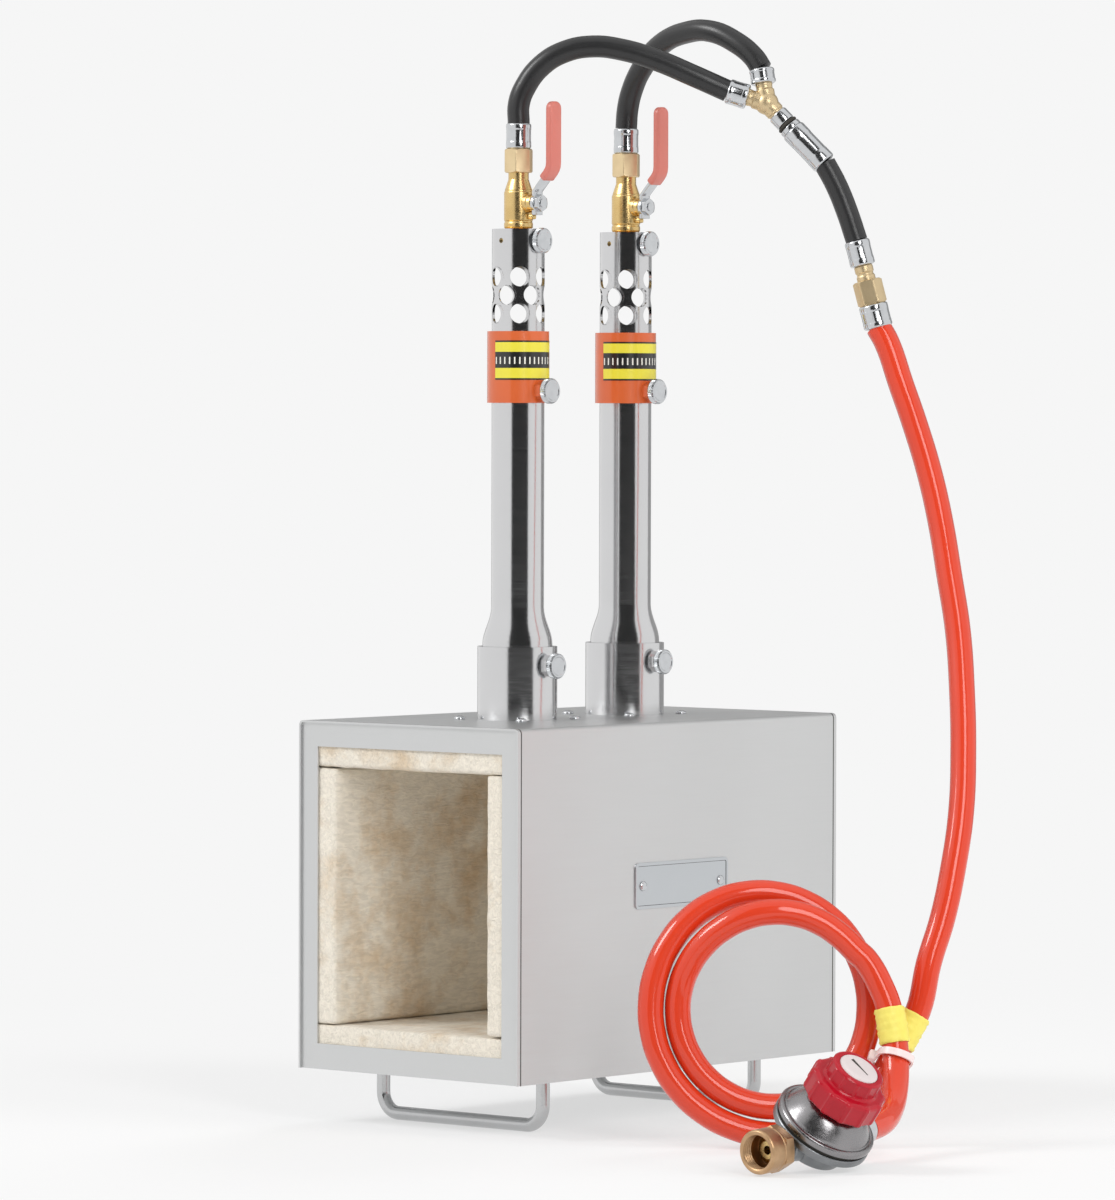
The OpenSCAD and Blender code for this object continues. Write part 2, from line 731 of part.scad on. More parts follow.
module valve_body(y) color("goldenrod") translate([0, y, 0]) {
    difference() {
        union() {
            translate([0, 0, tube_z]) cylinder(r = valve_r, h = valve_h);
            translate([0, 0, stem_z]) bar_x(boss_d / 2, 0, boss_x);
        }
        translate([0, 0, tube_z - cut]) cylinder(r = spigot_r, h = spigot_l + cut);
        translate([0, 0, tube_z]) cylinder(d = valve_bore, h = valve_h);
        translate([0, 0, cavity_z]) cylinder(r = cavity_r, h = valve_top - cavity_z + cut);
        translate([0, 0, stem_z]) bar_x(stem_d / 2 + fit_gap, 0, boss_x + cut);
    }
}

module front_valve_body() valve_body(FRONT);

module rear_valve_body() valve_body(REAR);

module valve_seats() color("white") {
    out_r = cavity_r - fit_gap;
    each_burner() for (z = [cavity_z, spigot_z - seat_t]) translate([0, 0, z])
        turned([[seat_r, 0], [out_r, 0], [out_r, seat_t], [seat_r, seat_t]]);
}

module valve_ball(y) color("lightgray") translate([0, y, stem_z]) {
    difference() {
        sphere(r = ball_r);
        cylinder(d = valve_bore, h = 2 * ball_d, center = true);
        block([slot_x, -slot_w / 2, -ball_r], [ball_d, slot_w / 2, ball_r]);
    }
}

module front_valve_ball() valve_ball(FRONT);

module rear_valve_ball() valve_ball(REAR);

// Stem with a flat tang in the slot of the ball
module valve_stem(y) color("lightgray") translate([0, y, stem_z]) {
    shoulder = ball_r + hole_gap;
    intersection() {
        bar_x(stem_d / 2, slot_x + hole_gap, shoulder + cut);
        block([0, -tang_w / 2, -stem_d], [ball_d, tang_w / 2, stem_d]);
    }
    bar_x(stem_d / 2, shoulder, lever_nut_x + lever_nut_t + stem_proud);
}

module front_valve_stem() valve_stem(FRONT);

module rear_valve_stem() valve_stem(REAR);

// Outline of a bent strip along a line, with mitred corners
function left_of(d) = [-d.y, d.x];
function step_at(p, i) = left_of(unit(p[i + 1] - p[i]));
function mitre(p, i, half) = let (a = step_at(p, max(i - 1, 0)), b = step_at(p, min(i, len(p) - 2)))
    p[i] + half * (a + b) / (1 + a * b);
function strip(p, half) = concat([for (i = [0 : len(p) - 1]) mitre(p, i, half)],
    [for (i = [len(p) - 1 : -1 : 0]) mitre(p, i, -half)]);

// Lever: a plate round the stem, a crank outwards, a straight strip up; the grip starts on the crank
lever_eye = 7;
lever_mid = lever_x + lever_t / 2;
lever_line = [[lever_mid, -lever_eye], [lever_mid, lever_eye], [lever_mid + lever_crank, lever_bend],
    [lever_mid + lever_crank, lever_l]];
grip_from = (lever_l - grip_l - lever_eye) / (lever_bend - lever_eye);
grip_line = [lever_line[1] + grip_from * (lever_line[2] - lever_line[1]), lever_line[2],
    lever_line[3] + [0, grip_wall]];

// Stretch an outline seen from the side of the lever to a width
module wide(w) {
    translate([0, w / 2, 0]) rotate([90, 0, 0]) linear_extrude(w) children();
}

module valve_lever(y) color("silver") translate([0, y, stem_z]) {
    difference() {
        wide(lever_w) polygon(strip(lever_line, lever_t / 2));
        bar_x(stem_d / 2 + fit_gap, 0, lever_x + lever_t + cut);
    }
    difference() {
        block([lever_x, -lever_eye_w / 2, -lever_eye], [lever_x + lever_t, lever_eye_w / 2, lever_eye - cut]);
        bar_x(stem_d / 2 + fit_gap, 0, lever_x + lever_t + cut);
    }
}

module front_valve_lever() valve_lever(FRONT);

module rear_valve_lever() valve_lever(REAR);

module lever_grip(y) color("tomato") translate([0, y, stem_z]) {
    difference() {
        wide(lever_w + 2 * grip_wall) polygon(strip(grip_line, lever_t / 2 + grip_wall));
        wide(lever_w) polygon(strip(lever_line, lever_t / 2));
    }
}

module front_lever_grip() lever_grip(FRONT);

module rear_lever_grip() lever_grip(REAR);

module lever_nut(y) color("whitesmoke") translate([0, y, stem_z]) {
    difference() {
        bar_x(lever_nut_d / 2, lever_nut_x, lever_nut_x + lever_nut_t, 6);
        bar_x(stem_d / 2 + fit_gap, lever_nut_x - cut, lever_nut_x + lever_nut_t + cut);
    }
}

module front_lever_nut() lever_nut(FRONT);

module rear_lever_nut() lever_nut(REAR);

// Tapered adaptor: a spigot in the valve body, a male end for the swivel nut
module valve_adaptors() color("goldenrod") {
    bore_r = valve_bore / 2;
    in_r = cavity_r - fit_gap;
    foot_in = 0.5;
    thin_r = 6;
    thin_l = 4;
    male_l = 8;
    each_burner() turned([[bore_r, spigot_z], [in_r, spigot_z], [in_r, valve_top],
        [valve_r - foot_in, valve_top], [thin_r, adaptor_top - thin_l], [thin_r, adaptor_top],
        [male_r, adaptor_top], [male_r, adaptor_top + male_l], [bore_r, adaptor_top + male_l]]);
}

// Hexagon nut with its hole, standing on z = 0
module hose_nut(h, hole) {
    difference() {
        cylinder(d = hose_nut_d, h = h, $fn = 6);
        translate([0, 0, -cut]) cylinder(r = hole, h = h + 2 * cut);
    }
}

// Union in the tail: a round neck, then a hexagon, bored through
module tail_union() {
    neck = 5.5;
    l = union_neck_l + norm(U_B - U_A);
    difference() {
        union() {
            cylinder(r = neck, h = l);
            translate([0, 0, union_neck_l]) cylinder(d = hose_nut_d, h = l - union_neck_l, $fn = 6);
        }
        translate([0, 0, -cut]) cylinder(r = hose_bore_r, h = l + 2 * cut);
    }
}

module hose_nuts() color("goldenrod") {
    each_burner() translate([0, 0, hose_nut_z]) hose_nut(hose_nut_h, male_r + fit_gap);
    along(T_E, union_way) tail_union();
}

// Crimped ferrule from one point to another, with two grooves pressed in
module ferrule(a, b, r) {
    l = norm(b - a);
    bevel = 0.7;
    groove = 0.5;
    slope = l / 20;
    grooves = [for (from = [0.25, 0.55] * l) each [[r, from], [r - groove, from + slope],
        [r - groove, from + 4 * slope], [r, from + 5 * slope]]];
    along(a, b - a) turned(concat([[hose_bore_r, 0], [r - bevel, 0], [r, bevel]], grooves,
        [[r, l - bevel], [r - bevel, l], [hose_bore_r, l]]));
}

module crimp_ferrules() color("lightgray") {
    slim = ferrule_d / 2;
    red = red_r + 1;
    each_burner() ferrule([0, 0, hose_nut_top], [0, 0, hose_z], slim);
    ferrule(F1_B, F1_A, slim);
    ferrule(F2_B, F2_A, slim);
    ferrule(T_B, T_C, slim);
    ferrule(T_E, T_D, slim);
    ferrule(U_B, U_C, red);
    ferrule(REG_AT + reg_turn([0, outlet_y, port_z]), OUTLET, red);
}

module front_hose() color("dimgray") tube(front_route, black_r, 10, [0, 0, 1], unit(F1_B - F1_A));

module rear_hose() color("dimgray") tube(rear_route, black_r, 10, [0, 0, 1], unit(F2_B - F2_A));

// Brass block with two inlets for the black hoses and one outlet for the tail
module y_block() color("goldenrod") {
    core_r = 7;
    port_r = 5;
    translate(Y_AT) sphere(r = core_r);
    for (end = [F1_B, F2_B, T_A]) along(Y_AT, end - Y_AT) cylinder(r = port_r, h = norm(end - Y_AT));
}

// Plated coupling between the block and the tail, with a groove and a collar
module tail_coupling() color("silver") {
    l = norm(T_B - T_A);
    r = 6;
    bevel = 0.6;
    groove = 0.8;
    groove_z = l - 4.5;
    collar_r = 6.7;
    collar_z = l - 2.5;
    along(T_A, tail_way) turned([[hose_bore_r, 0], [r - bevel, 0], [r, bevel], [r, groove_z - bevel],
        [r - groove, groove_z], [r - groove, collar_z - bevel], [collar_r, collar_z], [collar_r, l],
        [hose_bore_r, l]]);
}

module tail_hose() color("dimgray") tube(tail_route, black_r, 10, tail_way, union_way);

module red_hose() color("orangered") tube(red_route, red_r, 10, union_way, -loop_in);

// The loops end straight at both sides, where the two free stretches meet them
module hose_loops() color("orangered") tube(loops_route, red_r, 6, -loop_in, loop_out);

module regulator_hose() color("orangered") tube(out_route, red_r, 10, loop_out, -reg_out);

// Tape wrapped round each of the two strands where they run side by side
module hose_tapes() color("gold") {
    wrap_l = 20;
    wrap_t = 0.7;
    wrap_in = red_r + 0.9;
    ways = [-loop_in, unit(OUT_MID[2] - OUT_MID[1])];
    starts = [LOOP_IN - loop_in * wrap_l * 0.1, (OUT_MID[1] + OUT_MID[2] - ways[1] * wrap_l) / 2];
    for (i = [0, 1]) along(starts[i], ways[i])
        difference() {
            cylinder(r = wrap_in + wrap_t, h = wrap_l);
            translate([0, 0, -cut]) cylinder(r = wrap_in, h = wrap_l + 2 * cut);
        }
}

// Band round two strands, below the tapes: one in the loops, one that leaves them
module cable_tie() color("white") {
    band_w = 4;
    band_t = 1.3;
    band_in = red_r + 1.6;
    a = loop_path[0];
    b = OUT_MID[3];
    a_way = -loop_in;
    b_way = unit(OUT_MID[4] - OUT_MID[2]);
    z = unit(a_way + b_way);
    p = a + a_way * ((b - a) * z / 2) / (a_way * z);
    q = b - b_way * ((b - a) * z / 2) / (b_way * z);
    x = unit(q - p);
    y = cross(z, x);
    m = (p + q) / 2;
    half = norm(q - p) / 2;
    multmatrix([[x.x, y.x, z.x, m.x], [x.y, y.y, z.y, m.y], [x.z, y.z, z.z, m.z], [0, 0, 0, 1]])
        translate([0, 0, -band_w / 2]) linear_extrude(band_w) difference() {
            stadium(half, band_in + band_t);
            stadium(half, band_in);
        }
}

// Outline with round ends
module stadium(half, r) {
    polygon(concat(arc(half, 0, r, -90, 90, 12), arc(-half, 0, r, 90, 270, 12)));
}

module place_regulator() {
    translate(REG_AT) rotate([reg_tip, 0, 0]) rotate([0, reg_lean, 0]) children();
}

// A round bar of the regulator along its inlet axis, from one distance to another
module port_bar(r, from, to, sides = $fn) {
    translate([0, from, port_z]) rotate([-90, 0, 0]) cylinder(r = r, h = to - from, $fn = sides);
}

module regulator_body() color("darkgray") place_regulator() {
    boss_r = 9;
    gas_r = 3;
    drill_y = 6;
    duct_r = 2;
    duct_y = drill_y + 1;
    dish_z = -7;
    dish_r = reg_r - 9;
    difference() {
        union() {
            turned(bowl_outline);
            port_bar(boss_r, -port_y, -foot_r);
            port_bar(boss_r, foot_r, outlet_y);
        }
        turned([[0, dish_z], [foot_r, dish_z], [dish_r, -2.5], [dish_r + 1, cut], [0, cut]]);
        port_bar(gas_r, -port_y - cut, -drill_y);
        port_bar(gas_r, drill_y, outlet_y + cut);
        for (y = [-duct_y, duct_y]) translate([0, y, port_z]) cylinder(r = duct_r, h = dish_z - port_z + cut);
    }
}

module diaphragm() color("black") place_regulator() {
    translate([0, 0, -reg_seam]) cylinder(r = reg_r - 1.5, h = 2 * reg_seam);
}

module regulator_bonnet() color("darkgray") place_regulator() {
    wall = 4;
    roof_z = neck_foot + 0.5;
    turned([[reg_r - 2 * wall, reg_seam], [reg_r, reg_seam], [reg_r, rim_h - 0.5], [reg_r - wall, rim_h + 1],
        [shoulder_r, neck_foot - 2.5], [neck_r, neck_foot], [neck_r, neck_z], [screw_r + hole_gap, neck_z],
        [screw_r + hole_gap, roof_z], [neck_r - 2, roof_z], [shoulder_r - wall, neck_foot - 2.5 - wall]]);
}

module regulator_spring() color("silver") place_regulator()
    tube(spring_route, spring_wire, 6, [0, 1, 0], [0, 1, 0]);

// Knob: fluted skirt, plain crown, and the screw under it that presses on the spring
module regulator_knob() color("crimson") place_regulator() {
    r = knob_d / 2;
    crown_r = crown_d / 2;
    bevel = 1;
    flutes = 12;
    flute_r = 3.4;
    flute_in = flute_r * 0.45;
    room = 1.5;
    difference() {
        turned([[0, skirt_z], [r - bevel, skirt_z], [r, skirt_z + bevel], [r, skirt_top - 2 * bevel],
            [r - 2 * bevel, skirt_top], [crown_r + bevel, skirt_top], [crown_r, skirt_top + bevel],
            [crown_r, crown_top - bevel], [crown_r - bevel, crown_top], [0, crown_top]]);
        translate([0, 0, skirt_z - cut]) cylinder(r = neck_r + room, h = neck_z - skirt_z + cut + room);
        for (k = [0 : flutes - 1]) rotate([0, 0, k * 360 / flutes])
            translate([r + flute_r - flute_in, 0, skirt_z - cut])
                cylinder(r = flute_r, h = skirt_top - skirt_z + 2 * cut);
    }
    turned([[0, press_z], [press_r, press_z], [press_r, press_z + press_t], [screw_r, press_z + press_t],
        [screw_r, skirt_top], [0, skirt_top]]);
}

module knob_cap() color("whitesmoke") place_regulator() {
    translate([0, 0, crown_top]) cylinder(d = cap_d, h = 1.2);
}

// Gas inlet: a round mouth with a plain bore for the supply's fitting, then a hexagon, turning on the nipple
module inlet_nut() color("goldenrod") place_regulator() {
    round_l = 12;
    hex_proud = 1;
    undercut = 0.8;
    difference() {
        union() {
            port_bar(inlet_d / 2, nut_mouth, nut_mouth + round_l);
            port_bar(inlet_d / 2 + hex_proud, nut_mouth + round_l, -nut_y, 6);
        }
        port_bar(inlet_bore / 2, nut_mouth - cut, nut_mouth + inlet_bore_l);
        port_bar(inlet_bore / 2 + undercut, nut_mouth + inlet_bore_l, -nut_y - nut_wall);
        port_bar(nipple_r + fit_gap, nut_mouth, -nut_y + cut);
    }
}

module inlet_nipple() color("goldenrod") place_regulator() {
    tip_y = nut_y + nut_l - inlet_bore_l - 1;
    tip_r = 5;
    tip_l = 3;
    flange_r = 8.4;
    behind = nut_y - loose_gap;
    ahead = nut_y + nut_wall + loose_gap;
    translate([0, 0, port_z]) rotate([90, 0, 0]) turned([[nipple_bore, port_y], [flange_r, port_y],
        [flange_r, behind], [nipple_r, behind], [nipple_r, ahead], [flange_r, ahead],
        [flange_r, tip_y - tip_l], [tip_r, tip_y], [nipple_bore, tip_y]]);
}

shell_wrap();
front_frame();
rear_frame();
floor_pan();
front_leg();
rear_leg();
pan_screws();
lining_floor();
lining_left();
lining_right();
lining_roof();
name_plate();
plate_rivets();
front_socket();
rear_socket();
front_burner_tube();
rear_burner_tube();
front_choke_sleeve();
rear_choke_sleeve();
front_socket_thumbscrew();
rear_socket_thumbscrew();
front_sleeve_thumbscrew();
rear_sleeve_thumbscrew();
front_tube_thumbscrew();
rear_tube_thumbscrew();
gas_jets();
front_valve_body();
rear_valve_body();
front_valve_ball();
rear_valve_ball();
front_valve_stem();
rear_valve_stem();
front_valve_lever();
rear_valve_lever();
front_lever_grip();
rear_lever_grip();
front_lever_nut();
rear_lever_nut();
valve_seats();
valve_adaptors();
hose_nuts();
crimp_ferrules();
front_hose();
rear_hose();
y_block();
tail_coupling();
tail_hose();
red_hose();
hose_loops();
regulator_hose();
hose_tapes();
cable_tie();
regulator_body();
regulator_bonnet();
diaphragm();
regulator_spring();
regulator_knob();
knob_cap();
inlet_nut();
inlet_nipple();
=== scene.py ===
import math

import bmesh
import bpy
from bpy.props import FloatProperty, FloatVectorProperty, IntProperty, PointerProperty
from mathutils import Matrix, Vector


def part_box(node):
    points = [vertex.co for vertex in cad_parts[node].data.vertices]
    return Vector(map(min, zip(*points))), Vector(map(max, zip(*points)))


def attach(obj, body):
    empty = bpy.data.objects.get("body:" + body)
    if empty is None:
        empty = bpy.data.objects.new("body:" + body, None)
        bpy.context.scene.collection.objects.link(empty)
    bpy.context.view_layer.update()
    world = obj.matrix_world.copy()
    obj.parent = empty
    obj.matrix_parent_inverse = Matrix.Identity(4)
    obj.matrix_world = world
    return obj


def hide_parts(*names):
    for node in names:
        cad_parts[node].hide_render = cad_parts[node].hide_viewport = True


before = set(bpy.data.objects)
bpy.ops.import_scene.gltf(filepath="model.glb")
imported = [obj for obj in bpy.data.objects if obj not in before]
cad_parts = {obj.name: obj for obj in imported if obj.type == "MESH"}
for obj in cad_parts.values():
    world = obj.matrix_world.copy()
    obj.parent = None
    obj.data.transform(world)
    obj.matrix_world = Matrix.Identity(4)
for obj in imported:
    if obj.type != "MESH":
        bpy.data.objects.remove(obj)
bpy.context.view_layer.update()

bl_info = {
    "name": "Gas forge dressing",
    "version": (1, 0, 0),
    "blender": (4, 5, 0),
    "location": "View3D > Sidebar > Forge",
    "description": "Hoses, fittings, lining and finishes of a two-burner gas forge on its packed frame",
    "category": "Object",
}

MM = 0.001
BURNERS = {"front": -49.0, "rear": 49.0}
ALONG_X = 1, 0, 0

# Fixed heights and radii of the frame, in millimetres, as the part's source has them
BOX_TOP, PAN_TOP = 236.0, 33.2
SCREW_SQUARE, LEG_SCREW = 24.0, (62.0, 97.0)
PLATE_X, PLATE_Z, RIVET_Y = 85, 141, 35.5
SLEEVE_LOW, SLEEVE_R = 422.0, 18.2
STEM_Z, ADAPTOR_TOP, NUT_TOP, HOSE_Z = 539.0, 557.0, 571.0, 586.0
# The wrap's seam, painted dark as painted shade, and its width, drawn so wide to show, and the pitch and width of the
# air scale's ticks
SEAM_Y, SEAM_W, TICK_PITCH, TICK_W = 143.2, 0.9, 3.0, 0.81

# Points of the hose fittings and the routes between them, in millimetres, repeated from the part's source
Y_AT = Vector((115, 40, 598))
F1_A, F2_A = Vector((97, 26, 605)), Vector((111, 40, 618))
T_B, U_A, U_B = Vector((129, 47, 582)), Vector((168, 68, 494)), Vector((171, 70, 480))
TAIL_WAY, UNION_WAY = (T_B - Y_AT).normalized(), (U_B - U_A).normalized()
F1_B = Y_AT + (F1_A - Y_AT).normalized() * 11.5
F2_B = Y_AT + (F2_A - Y_AT).normalized() * 11.5
T_A, T_C = Y_AT + TAIL_WAY * 9, T_B + TAIL_WAY * 27.5
T_E = U_A - UNION_WAY * 9
T_D, U_C = T_E - UNION_WAY * 15, U_B + UNION_WAY * 14
FRONT_MID = [(0, -49, 597), (3, -47, 607), (11, -41, 620), (22, -33, 628), (35, -23, 631), (49, -13, 629),
             (65, -1, 623), (82, 12, 614)]
REAR_MID = [(1, 49, 597), (5, 48, 608), (16, 45, 622), (34, 41, 635), (55, 38, 641), (76, 36, 641),
            (94, 37, 634), (106, 39, 625)]
TAIL_MID = [(152, 59, 550), (158, 62, 534)]
RED_MID = [(179, 73, 458), (188, 75, 434), (199, 75, 409), (209, 75, 383), (220, 72, 353), (231, 66, 323),
           (242, 60, 291), (252, 51, 257), (260, 42, 223), (267, 31, 189), (270, 20, 158), (270, 10, 129),
           (268, 0, 104)]
OUT_MID = [Vector(p) for p in ((261.6, -35.8, 92), (266.6, -34.6, 79.5), (271.4, -35.6, 61.5), (275.3, -39.4, 48.5),
                               (281, -47.5, 36.5), (287.5, -60, 26.6), (294, -76, 21))]

# Loops of the red hose: centre, yaw and lean in degrees, and the turn they make
LOOP_AT, LOOP_YAW, LOOP_LEAN = Vector((214.5, -72.5, 79.1)), 46.0, 8.0
LOOP_START, LOOP_TURN, LOOP_R, LOOP_WIDE, LOOP_STEP, LOOP_CROSS = -22.0, 664.0, 70.0, 3.0, 15.4, 19.0
LOOP_COUNT, LOOP_IN_L, LOOP_OUT_L = 45, 30.0, 6.0

# The regulator's own frame: it leans about its inlet axis and is tipped down at the inlet
REG_AT, REG_LEAN, REG_TIP = Vector((304, -141, 24.78457)), 38.0, 3.0
REG_TURN = Matrix.Rotation(math.radians(REG_TIP), 4, "X") @ Matrix.Rotation(math.radians(REG_LEAN), 4, "Y")
REG_FRAME = Matrix.Translation(REG_AT * MM) @ REG_TURN
PORT_Z, OUTLET_Y, OUTLET_L = -11.0, 30.5, 16.0
OUTLET_FACE = REG_AT + REG_TURN @ Vector((0, OUTLET_Y, PORT_Z))
OUTLET = REG_AT + REG_TURN @ Vector((0, OUTLET_Y + OUTLET_L, PORT_Z))


def linear(code):
    """An sRGB hex value as the linear colour that shaders take."""
    shares = [int(code[i:i + 2], 16) / 255 for i in (1, 3, 5)]
    return tuple(s / 12.92 if s <= 0.04045 else ((s + 0.055) / 1.055) ** 2.4 for s in shares) + (1.0,)


def colour(name, description, code):
    """A colour that a user may change."""
    return FloatVectorProperty(name=name, description=description, subtype="COLOR", size=4, min=0, max=1,
                               default=linear(code))


def length(name, description, millimetres):
    """A length that a user may change."""
    return FloatProperty(name=name, description=description, default=millimetres * MM, min=0, unit="LENGTH",
                         subtype="DISTANCE")


class ForgeColours(bpy.types.PropertyGroup):
    """Base colours of the finishes."""

    sheet: colour("Sheet", "Satin stainless of the box", "#D2D3D3")
    tube: colour("Tube", "Polished stainless of the burners", "#DADADB")
    rod: colour("Rod", "Drawn stainless of the legs", "#CBCCCD")
    enamel: colour("Enamel", "Orange of the choke sleeves", "#D96730")
    label: colour("Label", "Yellow of the air scale", "#E6DA3E")
    valve: colour("Valve brass", "Forged brass of the valves", "#EACD90")
    nut: colour("Nut brass", "Dull pale brass of the nuts", "#E6D0A8")
    plated: colour("Plated steel", "Zinc plate of screws, levers and ferrules", "#D8DADC")
    vinyl: colour("Vinyl", "Red of the lever grips", "#D47A6E")
    rubber: colour("Rubber", "Black of the burner hoses", "#222223")
    red_hose: colour("Gas hose", "Red of the gas hose", "#DE3F1D")
    tape: colour("Tape", "Yellow of the wrapped tape", "#F7EC78")
    nylon: colour("Nylon", "Pale cable tie", "#F3E4E2")
    zinc: colour("Zinc", "Die-cast body of the regulator", "#9A9C9E")
    bonnet: colour("Bonnet", "Plated bonnet of the regulator", "#9C9A9B")
    knob: colour("Knob", "Crimson of the knob", "#B80A22")
    cap: colour("Cap", "Pale cap of the knob", "#DED2D2")
    fibre: colour("Fibre", "Ceramic fibre of the lining", "#EFE7D8")
    stain: colour("Heat stain", "Tan of the heated fibre", "#CDAF86")
    floor: colour("Floor", "Floor and background", "#F6F6F6")


class ForgeSizes(bpy.types.PropertyGroup):
    """Sizes of the dressing that a user may change."""

    black_d: length("Burner hose", "Outside diameter of the black hoses", 13)
    red_d: length("Gas hose", "Outside diameter of the red hose", 15)
    ferrule_d: length("Ferrule", "Diameter of the slim crimp ferrules", 14.8)
    label_low: length("Label foot", "From the bottom of the sleeve to the label", 13.5)
    label_h: length("Label height", "Height of the air scale", 23)
    tape_l: length("Tape", "Length of the tape round a strand", 20)
    knurls: IntProperty(name="Knurls", description="Teeth round a thumbscrew head", default=48, min=12, max=90)


def only(obj):
    """Leaves one object, or none, selected and active in object mode."""
    if bpy.context.mode != "OBJECT":
        bpy.ops.object.mode_set(mode="OBJECT")
    bpy.ops.object.select_all(action="DESELECT")
    bpy.context.view_layer.objects.active = obj
    if obj:
        obj.select_set(True)
    return obj


def draw(name, add, **size):
    """Adds a primitive at the origin under a piece's name and opens it in edit mode with nothing selected."""
    only(None)
    add(location=(0, 0, 0), **size)
    obj = bpy.context.object
    obj.name = obj.data.name = name
    bpy.ops.object.mode_set(mode="EDIT")
    bpy.ops.mesh.select_all(action="DESELECT")
    return obj


def pick(obj, kind, test):
    """Selects the open mesh's verts, edges or faces that pass a test, and says how many."""
    bpy.ops.mesh.select_mode(type={"verts": "VERT", "edges": "EDGE", "faces": "FACE"}[kind])
    bpy.ops.mesh.select_all(action="DESELECT")
    mesh = bmesh.from_edit_mesh(obj.data)
    found = [part for part in getattr(mesh, kind) if test(part)]
    for part in found:
        part.select_set(True)
    mesh.select_flush_mode()
    bmesh.update_edit_mesh(obj.data)
    return len(found)


def close(obj):
    """Merges doubles, turns the faces outwards and goes back to object mode."""
    bpy.ops.mesh.select_mode(type="VERT")
    bpy.ops.mesh.select_all(action="SELECT")
    bpy.ops.mesh.remove_doubles(threshold=0.002 * MM)
    bpy.ops.mesh.normals_make_consistent(inside=False)
    bpy.ops.object.mode_set(mode="OBJECT")
    return obj


def eased(outline, r, arc=3):
    """The same outline with its inner corners eased by a small radius, as a cutter or a mould leaves them."""
    points = [Vector(p) for p in outline]
    soft = [points[0]]
    for a, b, c in zip(points, points[1:], points[2:]):
        back = min(r, (a - b).length * 0.45, (c - b).length * 0.45)
        p, q = b + (a - b).normalized() * back, b + (c - b).normalized() * back
        soft += [p.lerp(b, t).lerp(b.lerp(q, t), t) for t in (i / arc for i in range(arc + 1))]
    return soft + [points[-1]]


def traced(name, points):
    """Draws a line from point to point, in millimetres, open in edit mode and all selected."""
    obj = draw(name, bpy.ops.mesh.primitive_plane_add, size=MM)
    bpy.ops.mesh.select_all(action="SELECT")
    bpy.ops.mesh.merge(type="CENTER")
    bpy.ops.transform.translate(value=[x * MM for x in points[0]])
    for a, b in zip(points, points[1:]):
        step = [(y - x) * MM for x, y in zip(a, b)]
        bpy.ops.mesh.extrude_vertices_move(TRANSFORM_OT_translate={"value": step})
    bpy.ops.mesh.select_all(action="SELECT")
    return obj


def turned(name, outline, steps=64, ease=0.0, whole=math.tau):
    """Spins a half outline, in millimetres from the axis and along it, about Z; its corners may be eased."""
    line = eased(outline, ease) if ease else outline
    obj = traced(name, [(r, 0, z) for r, z in line])
    bpy.ops.mesh.spin(steps=steps, angle=whole, center=(0, 0, 0), axis=(0, 0, 1))
    return close(obj)


def peg(name, r, low, high, steps=32):
    """A plain round tool on Z, in millimetres."""
    return turned(name, [(0, low), (r, low), (r, high), (0, high)], steps)


def prism(name, outline, depth):
    """A prism on an outline of points in millimetres, drawn out by a depth, open in edit mode."""
    obj = traced(name, outline)
    bpy.ops.mesh.edge_face_add()
    bpy.ops.mesh.extrude_region_move(TRANSFORM_OT_translate={"value": [x * MM for x in depth]})
    bpy.ops.mesh.select_all(action="SELECT")
    bpy.ops.mesh.normals_make_consistent(inside=False)
    return obj


def bevelled(obj, offset, segments, test=lambda edge: True):
    """Rounds the open mesh's edges that pass a test, by an offset in millimetres."""
    pick(obj, "edges", test)
    bpy.ops.mesh.bevel(offset=offset * MM, segments=segments, affect="EDGES")
    return obj


def reach(edge):
    """How far an edge reaches along each axis, in millimetres."""
    a, b = (v.co for v in edge.verts)
    return Vector([abs(x - y) for x, y in zip(a, b)]) / MM


def pressed(obj, steps, teeth, place, r, low, high, factor):
    """Scales, about Z, the points at one place of each tooth, outside a radius and between two heights."""
    def inside(v):
        turn = round(math.atan2(v.co.y, v.co.x) / math.tau * steps) % teeth
        return turn == place and v.co.xy.length > r * MM and low * MM < v.co.z < high * MM
    only(obj)
    bpy.ops.object.mode_set(mode="EDIT")
    if pick(obj, "verts", inside) == 0:
        raise RuntimeError(f"{obj.name} has no point to press")
    bpy.ops.transform.resize(value=(factor, factor, 1), center_override=(0, 0, 0))


def stood(obj, at=(0, 0, 0), way=(0, 0, 1), turn=0.0):
    """Stands a piece that was made on +Z at a point in millimetres, along a direction, in its mesh."""
    z = Vector(way).normalized()
    x = Vector((0, 0, 1)).cross(z)
    x = x.normalized() if x.length > 0.001 else Vector((1, 0, 0))
    aim = Matrix((x, z.cross(x), z)).transposed().to_4x4()
    return moved(obj, Matrix.Translation(Vector(at) * MM) @ aim @ Matrix.Rotation(turn, 4, "Z"))


def moved(obj, matrix):
    """Moves a piece and applies the move to its mesh."""
    only(obj)
    obj.matrix_world = matrix
    bpy.ops.object.transform_apply(location=True, rotation=True, scale=True)
    return obj


def copied(obj, name):
    """A copy with its own mesh."""
    only(obj)
    bpy.ops.object.duplicate(linked=False)
    bpy.context.object.name = bpy.context.object.data.name = name
    return bpy.context.object


def joined(obj, *others):
    """Takes other objects into one piece."""
    only(obj)
    for other in others:
        other.select_set(True)
    bpy.ops.object.join()
    return obj


def shaped(obj, kind, **settings):
    """Adds a modifier and applies it."""
    only(obj)
    modifier = obj.modifiers.new(kind.lower(), kind)
    for key, value in settings.items():
        setattr(modifier, key, value)
    bpy.ops.object.modifier_apply(modifier=modifier.name)
    return obj


